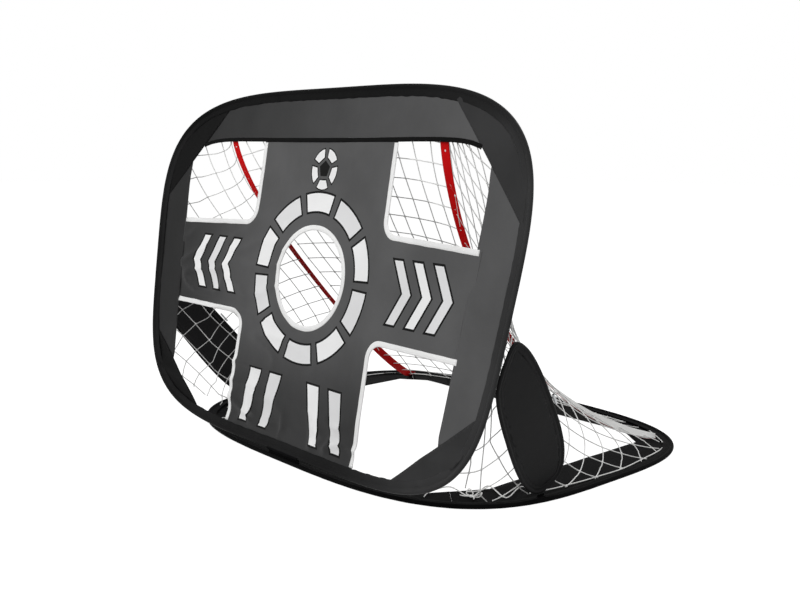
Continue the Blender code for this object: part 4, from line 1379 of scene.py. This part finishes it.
def makeNet(name, mesh, inside, place, node, seed):
    paths, knots = netPaths(mesh, inside, seed)

    def lay(spot):
        point = place(*spot)
        shake = netShape["loose"] if wellInside(spot, inside) else 0
        return point + shake * Vector((ripple(point.x * 9, point.z * 9, seed),
                                       ripple(point.x * 9 + 3, point.z * 9, seed + 1), 0))

    bm = cords([[lay(spot) for spot in path] for path in paths], netShape["cord"] / 2)
    for k, spot in enumerate(knots):
        size = netShape["knot"] * (1 + 0.18 * math.sin(k * 2.4))
        shape = Matrix.Translation(lay(spot)) @ Matrix.Diagonal((size, size * 0.9, size * 1.25, 1))
        bmesh.ops.create_icosphere(bm, subdivisions=1, radius=1, matrix=shape)
    finishPiece(newObject(name, bm), "netCord", "between", "net_cord", node)


def wellInside(spot, inside):
    gap = netShape["looseFrom"]
    return all(inside((spot[0] + dx, spot[1] + dy)) for dx, dy in ((gap, 0), (-gap, 0), (0, gap), (0, -gap)))


def makeNets():
    width, fall = netShape["backWidth"], fallLength
    makeNet("back_net_mesh", backMesh, lambda s: abs(s[0]) < width / 2 and 0 < s[1] < fall,
            lambda x, down: backPlace(0.5 + x / width, down / fall), "back_net", 41)
    sideWidth = sum((evenly(frameLine, d) - evenly(tapeLine, d)).length for d in (0.2, 0.4, 0.6, 0.8)) / 4
    sideFall = (runLengths(frameLine)[-1] + fall) / 2
    for (side, word), mesh in zip(sides, (rightMesh, leftMesh)):
        makeNet(f"{word}_net_mesh", mesh, lambda s: 0 < s[0] < sideWidth and 0 < s[1] < sideFall,
                lambda x, down: sidePlace(side, x / sideWidth, down / sideFall), f"{word}_net", 45 + side)
    print("nets done", round(sideWidth, 3), round(sideFall, 3), round(fallLength, 3))


def makeTapes():
    # red inside, pale outside
    steps, half = tapeShape["steps"], tapeShape["width"] / 2
    wide = Vector((half, 0, 0))
    for side, word in sides:
        line = [netFall(side, fallShare(i / steps), tapeShape["behind"]) for i in range(steps + 1)]

        def point(u, v):
            k = round(v * steps)
            ahead = (line[min(k + 1, steps)] - line[max(k - 1, 0)]).normalized()
            turn = tapeShape["turn"] * smooth(clamp((v - tapeShape["turnFrom"]) / tapeShape["turnOver"]))
            rise = Vector((1, 0, 0)).cross(ahead).normalized() * half
            if rise.z < 0:
                rise = -rise
            aside = (wide - ahead * wide.dot(ahead)) * math.cos(turn) - rise * side * math.sin(turn)
            twist = Vector(tapeShape["twist"]) * ripple(k * 0.13, u * 1.5, 50 + side)
            spot = line[k] + aside * (2 * u - 1) + twist * math.sin(math.pi * v)
            spot.z = max(spot.z, netShape["floorHeight"] - netShape["cord"] / 2)
            return spot

        obj = newObject(f"{word}_tape", skin(6, steps, point, (tapeShape["width"], fallLength)))
        faceForward(obj)
        thicken(obj, tapeShape["wall"]).material_offset = 1
        obj.data.materials.append(fabric("redTape"))
        finishPiece(obj, "paleTape", "between", "red_tape", f"{word}_seam_tape")
    print("tapes done")


makeCamera()
makeStudio()
makeSleeves()
makeFrontFabric()
makeBindings()
makeHoops()
makeFloorCloth()
makeWings()
makeNets()
makeLacing()
makeTapes()
for name, node in nodes.items():
    # finish of the solids that stay: hoops and ferrules, the strap, the foot tabs, the wings' seams
    if "hoop" in name or name.endswith(("strap", "foot_tab", "wing_seam")):
        node.data.materials.clear()
        node.data.materials.append(springSteel() if "hoop" in name else fabric("blackFabric"))
